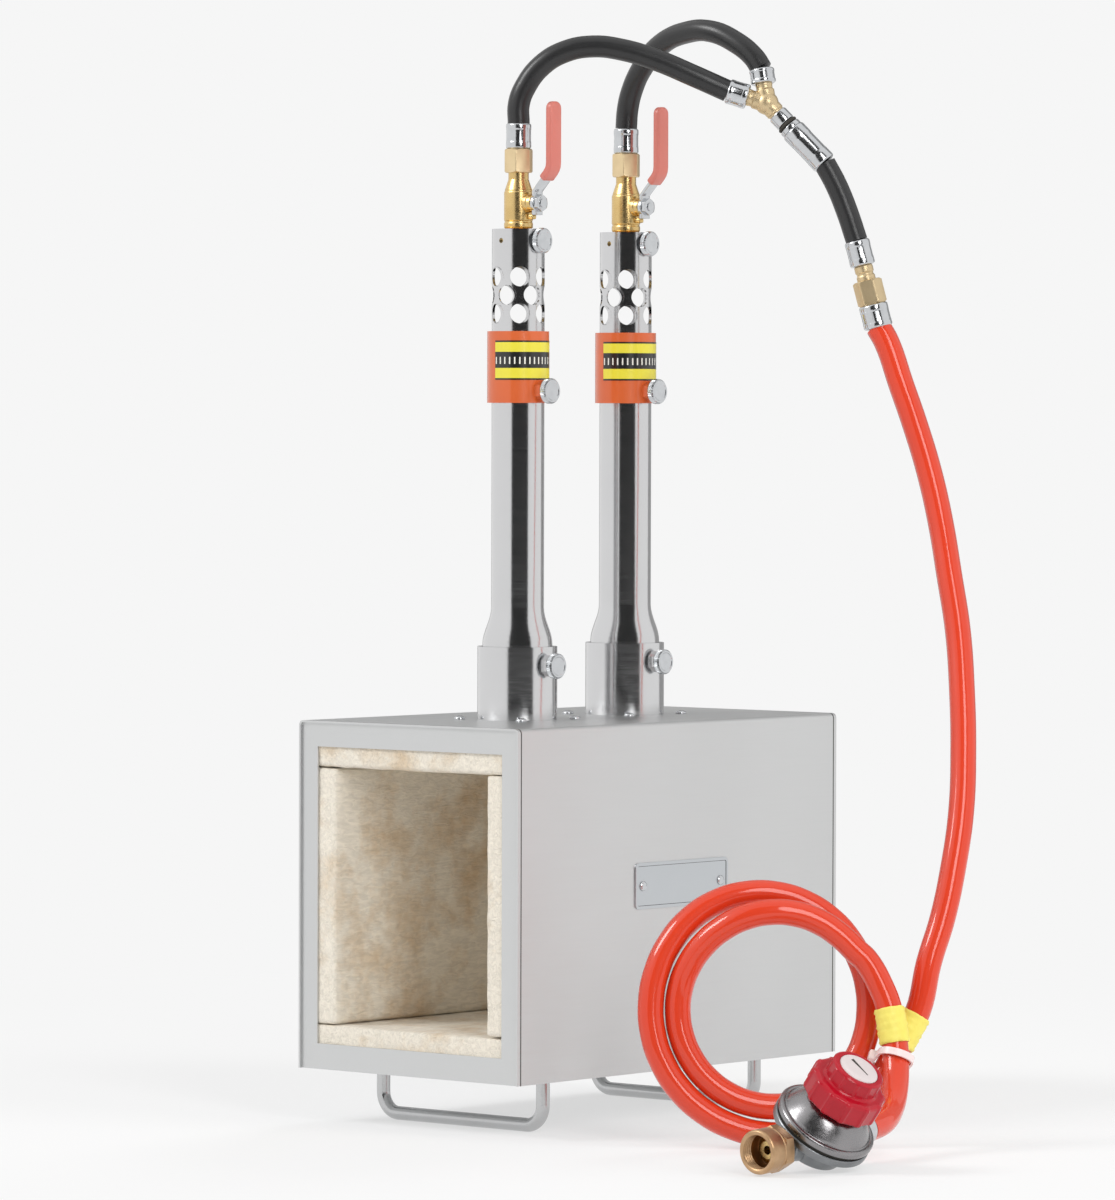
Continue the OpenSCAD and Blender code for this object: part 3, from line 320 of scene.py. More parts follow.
def cut(obj, tool, operation="DIFFERENCE"):
    """Cuts a piece with another, which is then gone."""
    shaped(obj, "BOOLEAN", object=tool, operation=operation, solver="EXACT")
    bpy.data.objects.remove(tool)
    return obj


def settled(obj, material, slot, *nodes, body="root", smooth=35.0):
    """Finishes a piece: smooth faces up to an angle, its material and its body, and hides the parts it stands for; the
    slot is not used.
    """
    if obj.type == "MESH":
        only(obj)
        bpy.ops.object.shade_smooth_by_angle(angle=math.radians(smooth))
    obj.data.materials.clear()
    obj.data.materials.append(bpy.data.materials[material])
    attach(obj, body)
    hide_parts(*nodes)
    return obj


def add_node(tree, kind, values=(), links=(), **settings):
    """One node with its settings, its socket values and its links."""
    node = tree.nodes.new(kind)
    for key, value in settings.items():
        setattr(node, key, value)
    for socket, value in dict(values).items():
        node.inputs[socket].default_value = value
    for socket, source in dict(links).items():
        tree.links.new(source, node.inputs[socket])
    return node


def new_tree(name):
    """A new material under the name of what it is, and its empty node tree."""
    material = bpy.data.materials.new(name)
    material.use_nodes = True
    material.node_tree.nodes.clear()
    return material.node_tree


def finish(name, base, worn, share, patch_mm, rough, grain_mm, lay=(1, 1, 1), relief_mm=0.0, spread=0.06, **shader):
    """A finish with slow patches part of the way to a worn tint, and a fine grain in its gloss and in low relief."""
    worn = tuple(x + (y - x) * share for x, y in zip(base, linear(worn)))
    tree = new_tree(name)
    at = add_node(tree, "ShaderNodeTexCoord").outputs["Object"]
    patch = add_node(tree, "ShaderNodeTexNoise", {"Scale": 1 / (patch_mm * MM), "Detail": 3.0}, {"Vector": at})
    tint = add_node(tree, "ShaderNodeMix", {6: base, 7: worn}, {0: patch.outputs[0]}, data_type="RGBA")
    along = add_node(tree, "ShaderNodeMapping", {"Scale": lay}, {"Vector": at})
    grain = add_node(tree, "ShaderNodeTexNoise", {"Scale": 1 / (grain_mm * MM), "Detail": 4.0},
                     {"Vector": along.outputs[0]})
    gloss = add_node(tree, "ShaderNodeMapRange", {1: 0.3, 2: 0.7, 3: max(0.02, rough - spread), 4: rough + spread},
                     {0: grain.outputs[0]})
    relief = add_node(tree, "ShaderNodeBump", {"Strength": 1.0, "Distance": relief_mm * MM},
                      {"Height": grain.outputs[0]})
    skin = add_node(tree, "ShaderNodeBsdfPrincipled", shader, {
        "Base Color": tint.outputs[2], "Roughness": gloss.outputs[0], "Normal": relief.outputs[0]})
    add_node(tree, "ShaderNodeOutputMaterial", {}, {"Surface": skin.outputs[0]})
    return tree


class FORGE_OT_finishes(bpy.types.Operator):
    """Makes every finish and puts it on the frame's own pieces"""

    bl_idname = "forge.finishes"
    bl_label = "Finishes"

    def execute(self, context):
        c = context.scene.forge_colours
        # Satin stainless sheet, linished along the box: a soft sheen with fine long lines, drawn 1.2 mm wide to show;
        # the linished skin scatters a quarter of its light. The folded wrap is the same sheet, with painted shade
        # along its seam
        sheet = c.sheet, "#6E6A64", 0.05, 90, 0.34, 1.2, (1, 0.03, 1), 0.006
        finish("satin_stainless_sheet", *sheet, Metallic=0.75)
        self.painted_seam_shade(finish("folded_stainless_wrap", *sheet, Metallic=0.75))
        # Polished stainless tube: mirror bands down the tube, faint turning rings 0.8 mm apart
        finish("polished_stainless_tube", c.tube, "#6E6A64", 0.06, 40, 0.17, 0.8, (0.06, 0.06, 1), 0.001, 0.03,
               Metallic=1.0)
        # Rolled aluminium plate: a little bluer and plainer than the sheet it lies on
        finish("rolled_aluminium_plate", linear("#CBCED1"), "#C6CACD", 1, 30, 0.3, 0.8, spread=0.01, Metallic=1.0)
        # Painted shade in the plate's pressed line: its groove is coloured dull and dark
        finish("pressed_line_grime", linear("#55575A"), "#3F4144", 1, 6, 0.6, 0.6)
        # Drawn stainless rod: darker, with long draw lines
        finish("drawn_stainless_rod", c.rod, "#6E6A64", 0.2, 25, 0.2, 0.6, (0.1, 1, 1), 0.004, Metallic=1.0)
        # Glossy stoved enamel: clear coat over orange with a slight orange-peel skin
        finish("orange_stoved_enamel", c.enamel, "#B83C12", 0.35, 18, 0.34, 1.6, relief_mm=0.012,
               **{"Coat Weight": 0.6, "Coat Roughness": 0.09})
        # Forged and turned brass: warm, bright, with turning lines and slightly darker tarnish
        finish("turned_brass", c.valve, "#B5873F", 0.45, 9, 0.29, 0.5, (0.2, 0.2, 1), 0.004, Metallic=1.0)
        # Tumbled brass nuts: paler and duller, with a sandy grain
        finish("tumbled_brass", c.nut, "#B49C72", 0.4, 6, 0.42, 0.5, relief_mm=0.012, Metallic=1.0)
        # Aged brass of the inlet nut: browner, with a dull sandy grain
        finish("aged_brass", linear("#D6B48E"), "#A8835E", 1, 6, 0.38, 0.5, relief_mm=0.012, Metallic=1.0)
        # Bright zinc plate on steel: bluish white with a soft cloudy gloss
        finish("zinc_plated_steel", c.plated, "#8D9298", 0.3, 5, 0.17, 0.4, relief_mm=0.004, Metallic=1.0)
        # Dipped vinyl: soft, slightly uneven red skin with a broad shine
        finish("dipped_red_vinyl", c.vinyl, "#BC6658", 0.5, 22, 0.42, 2.5, relief_mm=0.02,
               **{"Coat Weight": 0.25, "Coat Roughness": 0.25, "Subsurface Weight": 0.08,
                  "Subsurface Radius": (0.004, 0.001, 0.0006), "Subsurface Scale": 0.5})
        # Extruded black rubber hose: deep black with a talc-grey sheen and a fine skin
        finish("extruded_black_rubber", c.rubber, "#3C3C3C", 0.3, 12, 0.33, 0.7, relief_mm=0.012)
        # Extruded red PVC hose: an even red under a wet gloss
        finish("extruded_red_pvc", c.red_hose, "#C62C10", 0.4, 60, 0.4, 6.0, spread=0.02,
               **{"Specular IOR Level": 0.2, "Coat Weight": 0.9, "Coat Roughness": 0.07})
        # Crepe tape: matt yellow with small crinkles
        finish("yellow_crepe_tape", c.tape, "#E2CC40", 0.5, 4, 0.5, 1.0, (1, 1, 0.35), 0.12)
        # Moulded nylon: milky white, half glossy
        finish("moulded_nylon", c.nylon, "#E8C9C4", 0.4, 8, 0.35, 0.8, relief_mm=0.006,
               **{"Subsurface Weight": 0.1, "Subsurface Radius": (0.002, 0.0015, 0.0012), "Subsurface Scale": 0.5})
        # Die-cast zinc: grey with a blasted grain and darker patches
        finish("die_cast_zinc", c.zinc, "#55585B", 0.5, 7, 0.36, 0.6, relief_mm=0.03, Metallic=1.0)
        # Plated bonnet: half mirror with a faint ripple of the pressing
        finish("plated_pressing", c.bonnet, "#757477", 0.4, 12, 0.26, 2.0, relief_mm=0.012, spread=0.04, Metallic=1.0)
        # Moulded ABS knob: deep crimson, half gloss with a fine spark texture
        finish("moulded_crimson_abs", c.knob, "#860818", 0.4, 10, 0.36, 0.5, relief_mm=0.006,
               **{"Specular IOR Level": 0.2, "Coat Weight": 0.5, "Coat Roughness": 0.08})
        # Moulded ABS cap: off-white, half gloss
        finish("moulded_white_abs", c.cap, "#C9C2BE", 0.5, 5, 0.35, 0.5, relief_mm=0.01)
        # Turned PTFE seats: waxy white
        finish("turned_ptfe", linear("#ECEBE6"), "#DAD8D0", 1, 3, 0.45, 0.4, relief_mm=0.005)
        # Nitrile sheet of the diaphragm: dull black
        finish("nitrile_sheet", linear("#26241F"), "#37332C", 1, 6, 0.6, 0.6, relief_mm=0.02)
        self.fibre(c)
        for side, y in BURNERS.items():
            self.scale(c, f"printed_air_scale_{side}", y, context.scene.forge_sizes)
        for material, names in NODE_FINISH.items():
            for node in {name.replace("*", side) for name in names.split() for side in BURNERS}:
                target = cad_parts[node].data.materials
                target.clear()
                target.append(bpy.data.materials[material])
        return {"FINISHED"}

    def painted_seam_shade(self, tree):
        """Paints a dark line of painted shade on the wrap at the seam near each end, where the frames' lips meet it.
        """
        skin = next(n for n in tree.nodes if n.type == "BSDF_PRINCIPLED")
        sheet = skin.inputs["Base Color"].links[0].from_socket
        at = add_node(tree, "ShaderNodeTexCoord").outputs["Object"]
        axes = add_node(tree, "ShaderNodeSeparateXYZ", {}, {0: at})
        away = add_node(tree, "ShaderNodeMath", {}, {0: axes.outputs[1]}, operation="ABSOLUTE")
        seam = add_node(tree, "ShaderNodeMath", {1: SEAM_Y * MM, 2: SEAM_W / 2 * MM}, {0: away.outputs[0]},
                        operation="COMPARE")
        # Painted shade: the seam's narrow band turns dark grey
        tone = add_node(tree, "ShaderNodeMix", {7: linear("#4C4B49")}, {0: seam.outputs[0], 6: sheet},
                        data_type="RGBA")
        tree.links.new(tone.outputs[2], skin.inputs["Base Color"])

    def fibre(self, c):
        """Ceramic fibre blanket: matt cream felt, stained tan where it is heated, with a fibrous nap."""
        tree = new_tree("ceramic_fibre_blanket")
        at = add_node(tree, "ShaderNodeTexCoord").outputs["Object"]
        cloud = add_node(tree, "ShaderNodeTexNoise", {"Scale": 1 / (45 * MM), "Detail": 5.0, "Roughness": 0.62},
                         {"Vector": at})
        heat = add_node(tree, "ShaderNodeMapRange", {1: 0.48, 2: 0.74}, {0: cloud.outputs[0]})
        base = add_node(tree, "ShaderNodeMix", {6: c.fibre, 7: c.stain}, {0: heat.outputs[0]}, data_type="RGBA")
        along = add_node(tree, "ShaderNodeMapping", {"Scale": (1, 0.25, 1)}, {"Vector": at})
        nap = add_node(tree, "ShaderNodeTexNoise", {"Scale": 1 / (2.4 * MM), "Detail": 6.0, "Distortion": 1.2},
                       {"Vector": along.outputs[0]})
        dust = add_node(tree, "ShaderNodeMapRange", {1: 0.35, 2: 0.65, 3: 0.86, 4: 1.04}, {0: nap.outputs[0]})
        tone = add_node(tree, "ShaderNodeMix", {0: 1.0}, {6: base.outputs[2], 7: dust.outputs[0]}, data_type="RGBA",
                        blend_type="MULTIPLY")
        relief = add_node(tree, "ShaderNodeBump", {"Strength": 1.0, "Distance": 0.9 * MM}, {"Height": nap.outputs[0]})
        skin = add_node(tree, "ShaderNodeBsdfPrincipled", {"Roughness": 0.92, "Sheen Weight": 0.2}, {
            "Base Color": tone.outputs[2], "Normal": relief.outputs[0]})
        add_node(tree, "ShaderNodeOutputMaterial", {}, {"Surface": skin.outputs[0]})

    def scale(self, c, name, y, s):
        """Printed vinyl label: a plain air scale, ticks on a dark band between two yellow ones."""
        tree = new_tree(name)
        at = add_node(tree, "ShaderNodeTexCoord").outputs["Object"]
        low = SLEEVE_LOW * MM + s.label_low
        place = add_node(tree, "ShaderNodeMapping", {"Location": (0, -y * MM, -low)}, {"Vector": at})
        axes = add_node(tree, "ShaderNodeSeparateXYZ", {}, {0: place.outputs[0]})
        turn = add_node(tree, "ShaderNodeMath", {}, {0: axes.outputs[1], 1: axes.outputs[0]}, operation="ARCTAN2")
        arc = add_node(tree, "ShaderNodeMath", {1: SLEEVE_R / TICK_PITCH}, {0: turn.outputs[0]}, operation="MULTIPLY")
        beat = add_node(tree, "ShaderNodeMath", {1: 1.0}, {0: arc.outputs[0]}, operation="FLOORED_MODULO")
        tick = add_node(tree, "ShaderNodeMath", {1: TICK_W / TICK_PITCH}, {0: beat.outputs[0]},
                        operation="LESS_THAN")
        rise = add_node(tree, "ShaderNodeMath", {1: s.label_h}, {0: axes.outputs[2]}, operation="DIVIDE")
        bands = add_node(tree, "ShaderNodeValToRGB", {}, {0: rise.outputs[0]})
        black = linear("#1B1B1A")
        self.stops(bands.color_ramp, ((0.0, black), (0.04, c.label), (0.30, black), (0.71, c.label), (0.955, black)))
        inner = add_node(tree, "ShaderNodeValToRGB", {}, {0: rise.outputs[0]})
        self.stops(inner.color_ramp, ((0.0, linear("#000000")), (0.40, linear("#FFFFFF")), (0.58, linear("#000000"))))
        shown = add_node(tree, "ShaderNodeMath", {}, {0: tick.outputs[0], 1: inner.outputs[0]}, operation="MULTIPLY")
        ink = add_node(tree, "ShaderNodeMix", {7: linear("#E9E7DC")}, {0: shown.outputs[0], 6: bands.outputs[0]},
                       data_type="RGBA")
        skin = add_node(tree, "ShaderNodeBsdfPrincipled",
                        {"Roughness": 0.32, "Coat Weight": 0.5, "Coat Roughness": 0.12},
                        {"Base Color": ink.outputs[2]})
        add_node(tree, "ShaderNodeOutputMaterial", {}, {"Surface": skin.outputs[0]})

    def stops(self, ramp, bands):
        """Sharp bands of colour on a ramp, each from its place upwards."""
        ramp.interpolation = "CONSTANT"
        for i, (place, tint) in enumerate(bands):
            stop = ramp.elements[i] if i < len(ramp.elements) else ramp.elements.new(place)
            stop.position, stop.color = place, tint


# The finish of each of the frame's own pieces; a star stands for either burner
NODE_FINISH = {
    "folded_stainless_wrap": "shell_wrap",
    "satin_stainless_sheet": "*_frame floor_pan",
    "drawn_stainless_rod": "*_leg",
    "ceramic_fibre_blanket": "lining_floor lining_left lining_right lining_roof",
    "rolled_aluminium_plate": "name_plate",
    "polished_stainless_tube": "*_socket *_burner_tube",
    "orange_stoved_enamel": "*_choke_sleeve",
    "zinc_plated_steel": "pan_screws plate_rivets *_socket_thumbscrew *_sleeve_thumbscrew *_tube_thumbscrew "
                         "*_valve_ball *_valve_stem *_valve_lever *_lever_nut crimp_ferrules tail_coupling "
                         "regulator_spring",
    "turned_brass": "gas_jets *_valve_body valve_adaptors inlet_nipple",
    "tumbled_brass": "hose_nuts y_block inlet_nut",
    "dipped_red_vinyl": "*_lever_grip",
    "turned_ptfe": "valve_seats",
    "yellow_crepe_tape": "hose_tapes",
    "moulded_nylon": "cable_tie",
    "die_cast_zinc": "regulator_body",
    "plated_pressing": "regulator_bonnet",
    "nitrile_sheet": "diaphragm",
    "moulded_crimson_abs": "regulator_knob",
    "moulded_white_abs": "knob_cap",
}


class FORGE_OT_stage(bpy.types.Operator):
    """Sets the camera, the pale floor, the soft light and the cards that polished metal mirrors"""

    bl_idname = "forge.stage"
    bl_label = "Stage"

    # The photograph's camera in metres and degrees, its focal length in pixels and the frame's long side
    EYE, AZIMUTH, PITCH, ROLL = (2.655541, -3.107385, 0.419828), 40.635, 1.607, 0.151
    FOCAL_PX, FRAME_PX, SENSOR = 6890.53, 1200, 36
    # What the lamps point at; each lamp's place, its size in metres, its watts, and whether metal mirrors it
    AIM = Vector((0.1, 0, 0.3))
    LAMPS = {"key_light": ((-1.6, -2.4, 2.6), (1.4, 1.4), 56.0, True),
             "strip_light": ((2.08, -1.1, 1.35), (0.8, 1.8), 20.0, True),
             "side_light": ((3.2, 0.6, 1.9), (1.6, 1.6), 36.0, False),
             "back_light": ((-0.8, 2.4, 2.4), (1.6, 1.6), 26.0, False)}
    FLOOR_R, WORLD_LIGHT = 2.2, 0.46
    # Each card's azimuth in degrees, its width in metres and its grey; distance, height and foot are the same
    CARDS = {"dark_card": (49.5, 4.9, 0.04), "grey_card": (202, 5.2, 0.5)}
    CARD_AWAY, CARD_HIGH, CARD_LOW = 3.3, 5.5, -0.5

    def execute(self, context):
        self.camera(context)
        self.floor(context)
        self.world(context)
        for name, setting in self.CARDS.items():
            self.card(name, *setting)
        for name, setting in self.LAMPS.items():
            self.lamp(context, name, *setting)
        context.scene.view_settings.view_transform = "Standard"
        return {"FINISHED"}

    def lamp(self, context, name, at, size, power, shows):
        """A soft round lamp; one that metal mirrors leaves out the polished tubes, which mirror the cards alone."""
        only(None)
        bpy.ops.object.light_add(type="AREA", location=at)
        lamp = context.object
        lamp.data.shape = "ELLIPSE"
        lamp.name, lamp.data.energy, lamp.visible_glossy = name, power, shows
        lamp.data.size, lamp.data.size_y = size
        lamp.rotation_euler = (self.AIM - Vector(at)).to_track_quat("-Z", "Y").to_euler()
        if shows:
            for node in ("front_socket", "rear_socket", "front_burner_tube", "rear_burner_tube"):
                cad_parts[node].select_set(True)
            bpy.ops.object.light_linking_receivers_link(link_state="EXCLUDE")

    def camera(self, context):
        """The photograph's camera: its place, azimuth, pitch and roll."""
        only(None)
        bpy.ops.object.camera_add(location=self.EYE)
        eye = context.object
        a, p, r = (math.radians(x) for x in (self.AZIMUTH, self.PITCH, self.ROLL))
        right = Vector((math.cos(a), math.sin(a), 0))
        back = Vector((math.sin(a) * math.cos(p), -math.cos(a) * math.cos(p), math.sin(p)))
        up = back.cross(right)
        columns = right * math.cos(r) + up * math.sin(r), up * math.cos(r) - right * math.sin(r), back
        eye.rotation_euler = Matrix(columns).transposed().to_euler()
        eye.data.lens, eye.data.clip_end = self.FOCAL_PX / self.FRAME_PX * self.SENSOR, 50
        eye.data.sensor_width = self.SENSOR
        context.scene.camera = eye

    def floor(self, context):
        """A pale floor that shows soft shadows near the object and is the background's own colour further out."""
        floor = draw("floor", bpy.ops.mesh.primitive_circle_add, vertices=96, radius=self.FLOOR_R,
                     fill_type="NGON")
        bpy.ops.object.mode_set(mode="OBJECT")
        tree = new_tree("pale_studio_paper")
        c = context.scene.forge_colours.floor
        at = add_node(tree, "ShaderNodeTexCoord").outputs["Object"]
        away = add_node(tree, "ShaderNodeVectorMath", {}, {0: at}, operation="LENGTH")
        plain = add_node(tree, "ShaderNodeMapRange", {1: 0.35, 2: 1.0, 3: 0.6, 4: 1.0}, {0: away.outputs["Value"]})
        seen = add_node(tree, "ShaderNodeMath", {}, {0: self.shown(tree), 1: plain.outputs[0]}, operation="MULTIPLY")
        paper = add_node(tree, "ShaderNodeBsdfDiffuse", {"Color": c})
        glow = add_node(tree, "ShaderNodeEmission", {"Color": c, "Strength": 1.0})
        both = add_node(tree, "ShaderNodeMixShader", {}, {0: seen.outputs[0], 1: paper.outputs[0], 2: glow.outputs[0]})
        add_node(tree, "ShaderNodeOutputMaterial", {}, {"Surface": both.outputs[0]})
        floor.data.materials.append(bpy.data.materials["pale_studio_paper"])

    def world(self, context):
        """Soft white light all round, and one pale background for the camera, for mirrors and for clear pieces."""
        world = bpy.data.worlds.new("studio")
        world.use_nodes = True
        tree = world.node_tree
        tree.nodes.clear()
        light = add_node(tree, "ShaderNodeBackground", {"Color": (1, 1, 1, 1), "Strength": self.WORLD_LIGHT})
        seen = add_node(tree, "ShaderNodeBackground", {"Color": context.scene.forge_colours.floor, "Strength": 1.0})
        both = add_node(tree, "ShaderNodeMixShader", {}, {0: self.shown(tree), 1: light.outputs[0],
                                                          2: seen.outputs[0]})
        add_node(tree, "ShaderNodeOutputWorld", {}, {"Surface": both.outputs[0]})
        context.scene.world = world

    def shown(self, tree):
        """1 for the rays that show the plain background: the camera's, a mirror's and a clear piece's."""
        path = add_node(tree, "ShaderNodeLightPath")
        clear = add_node(tree, "ShaderNodeMath", {}, {0: path.outputs["Is Camera Ray"],
                         1: path.outputs["Is Transmission Ray"]}, operation="MAXIMUM")
        return add_node(tree, "ShaderNodeMath", {}, {0: clear.outputs[0], 1: path.outputs["Is Glossy Ray"]},
                        operation="MAXIMUM").outputs[0]

    def card(self, name, azimuth, wide, level):
        """A matt card that stands by the object, for polished metal to mirror; it casts no light or shade."""
        turn = math.radians(azimuth)
        middle = self.CARD_LOW + self.CARD_HIGH / 2
        card = draw(name, bpy.ops.mesh.primitive_plane_add, size=1, rotation=(math.pi / 2, 0, turn))
        bpy.ops.object.mode_set(mode="OBJECT")
        card.location = self.CARD_AWAY * math.sin(turn), -self.CARD_AWAY * math.cos(turn), middle
        card.scale = wide, self.CARD_HIGH, 1
        bpy.ops.object.transform_apply()
        tree = new_tree("matt_" + name)
        matt = add_node(tree, "ShaderNodeBsdfDiffuse", {"Color": (level, level, level, 1)})
        add_node(tree, "ShaderNodeOutputMaterial", {}, {"Surface": matt.outputs[0]})
        card.data.materials.append(bpy.data.materials["matt_" + name])
        card.visible_camera = card.visible_diffuse = card.visible_shadow = card.visible_transmission = False


def step_in(t):
    """A smooth step from 0 to 1."""
    u = min(1.0, max(0.0, t))
    return u * u * (3 - 2 * u)


def loop_points():
    """The loops' points in millimetres: the radius steps in and out, and the layer steps across."""
    yaw, lean = math.radians(LOOP_YAW), math.radians(LOOP_LEAN)
    across = Vector((math.cos(yaw), math.sin(yaw), 0))
    facing = Vector((math.sin(yaw) * math.cos(lean), -math.cos(yaw) * math.cos(lean), math.sin(lean)))
    upward = facing.cross(across)
    points = []
    for i in range(LOOP_COUNT + 1):
        t = LOOP_TURN * i / LOOP_COUNT
        a = math.radians(LOOP_START - t)
        r = LOOP_R + LOOP_WIDE * (1 - step_in(t / 100)) - LOOP_STEP * (
            step_in((t - 200) / 150) - step_in((t - 645) / 110))
        layer = LOOP_CROSS * (step_in((t - 520) / 90) - 0.5)
        points.append(LOOP_AT + r * (math.cos(a) * across + math.sin(a) * upward) + layer * facing)
    return points


LOOPS = loop_points()
LOOP_IN_WAY = (LOOPS[0] - LOOPS[1]).normalized()
LOOP_OUT_WAY = (LOOPS[-1] - LOOPS[-2]).normalized()
ROUTES = {
    "front_burner_hose": [(0, -49, HOSE_Z), *FRONT_MID, F1_A],
    "rear_burner_hose": [(0, 49, HOSE_Z), *REAR_MID, F2_A],
    "tail_hose_piece": [T_C, *TAIL_MID, T_D],
    "red_gas_hose": [U_C, *RED_MID, LOOPS[0] + LOOP_IN_WAY * LOOP_IN_L, *LOOPS,
                     LOOPS[-1] + LOOP_OUT_WAY * LOOP_OUT_L, *OUT_MID, OUTLET],
}


class FORGE_OT_hoses(bpy.types.Operator):
    """Lays the black burner hoses, the short tail hose and the red gas hose along their routes"""

    bl_idname = "forge.hoses"
    bl_label = "Hoses"

    def execute(self, context):
        s = context.scene.forge_sizes
        for name, node in (("front_burner_hose", "front_hose"), ("rear_burner_hose", "rear_hose"),
                           ("tail_hose_piece", "tail_hose")):
            settled(self.laid(name, s.black_d / 2), "extruded_black_rubber", "black_hose", node)
        settled(self.laid("red_gas_hose", s.red_d / 2), "extruded_red_pvc", "red_hose", "red_hose", "hose_loops",
                "regulator_hose")
        return {"FINISHED"}

    def laid(self, name, radius):
        """A round hose on one smooth open curve through its route's points."""
        line = bpy.data.curves.new(name, "CURVE")
        line.dimensions, line.bevel_depth, line.bevel_resolution, line.resolution_u = "3D", radius, 6, 6
        line.use_fill_caps = True
        spline = line.splines.new("BEZIER")
        spline.bezier_points.add(len(ROUTES[name]) - 1)
        for knot, place in zip(spline.bezier_points, ROUTES[name]):
            knot.co = Vector(place) * MM
            knot.handle_left_type = knot.handle_right_type = "AUTO"
        hose = bpy.data.objects.new(name, line)
        bpy.context.collection.objects.link(hose)
        return hose


def hexagon(name, corner_r, h, bore_r, chamfer=1.1):
    """A hexagon nut on +Z in millimetres: corners eased, both ends chamfered by a cone, bored through."""
    nut = draw(name, bpy.ops.mesh.primitive_cylinder_add, vertices=6, radius=corner_r * MM, depth=h * MM)
    bpy.ops.mesh.select_all(action="SELECT")
    bpy.ops.transform.translate(value=(0, 0, h / 2 * MM))
    close(bevelled(nut, 0.35, 2, lambda e: reach(e).z > h * 0.9))
    flat, past = corner_r * math.cos(math.pi / 6) * 0.985, corner_r + 0.2
    cone = [(0, 0), (flat, 0), (past, chamfer), (past, h - chamfer), (flat, h), (0, h)]
    cut(nut, turned("chamfer_tool", cone), "INTERSECT")
    return cut(nut, peg("bore_tool", bore_r, -1, h + 1, 48))


def slab(name, low, high):
    """A block between two corners in millimetres, open in edit mode."""
    obj = draw(name, bpy.ops.mesh.primitive_cube_add, size=1)
    bpy.ops.mesh.select_all(action="SELECT")
    bpy.ops.transform.resize(value=[(b - a) * MM for a, b in zip(low, high)])
    bpy.ops.transform.translate(value=[(a + b) / 2 * MM for a, b in zip(low, high)])
    bpy.ops.mesh.select_all(action="DESELECT")
    return obj


def bent_strip(name, line, thick, wide):
    """A strip bent along a line seen from the side, in millimetres, with mitred corners, open in edit mode."""
    line = [Vector(p) for p in line]
    ways = [(b - a).normalized() for a, b in zip(line, line[1:])]
    left, right = [], []
    for i, p in enumerate(line):
        a, b = ways[max(i - 1, 0)], ways[min(i, len(ways) - 1)]
        off = Vector((-a.y - b.y, a.x + b.x)) * (thick / 2) / (1 + a.dot(b))
        left.append(p + off)
        right.append(p - off)
    outline = [(p.x, -wide / 2, p.y) for p in left + right[::-1]]
    return prism(name, outline, (0, wide, 0))


class FORGE_OT_ferrules(bpy.types.Operator):
    """Crimps a plated ferrule on each hose end"""

    bl_idname = "forge.ferrules"
    bl_label = "Crimp ferrules"

    def execute(self, context):
        s = context.scene.forge_sizes
        slim, wide = s.ferrule_d / MM / 2, s.red_d / MM / 2 + 1
        for name, a, b, r in (("front_valve_ferrule", (0, -49, NUT_TOP), (0, -49, HOSE_Z), slim),
                              ("rear_valve_ferrule", (0, 49, NUT_TOP), (0, 49, HOSE_Z), slim),
                              ("front_block_ferrule", F1_B, F1_A, slim), ("rear_block_ferrule", F2_B, F2_A, slim),
                              ("tail_upper_ferrule", T_B, T_C, slim), ("tail_lower_ferrule", T_E, T_D, slim),
                              ("red_upper_ferrule", U_B, U_C, wide), ("outlet_ferrule", OUTLET_FACE, OUTLET, wide)):
            way = Vector(b) - Vector(a)
            settled(stood(self.crimped(name, way.length, r), a, way), "zinc_plated_steel", "ferrule_steel",
                    "crimp_ferrules")
        return {"FINISHED"}

    def crimped(self, name, l, r):
        """A rolled sleeve with a pressed waist, and the eight ridges that the crimping jaws leave on it."""
        steps, bore, dip, lip = 64, 2.0, 0.3, 0.8
        outline = [(bore, l), (bore, 0), (r - lip, 0), (r, lip), (r, 0.24 * l), (r - dip, 0.3 * l),
                   (r - dip, 0.74 * l), (r, 0.8 * l), (r, l - lip), (r - lip, l), (bore, l)]
        ferrule = turned(name, outline, steps, 0.6)
        pressed(ferrule, steps, 8, 0, 5, 0.26 * l, 0.78 * l, 1.02)
        return close(ferrule)


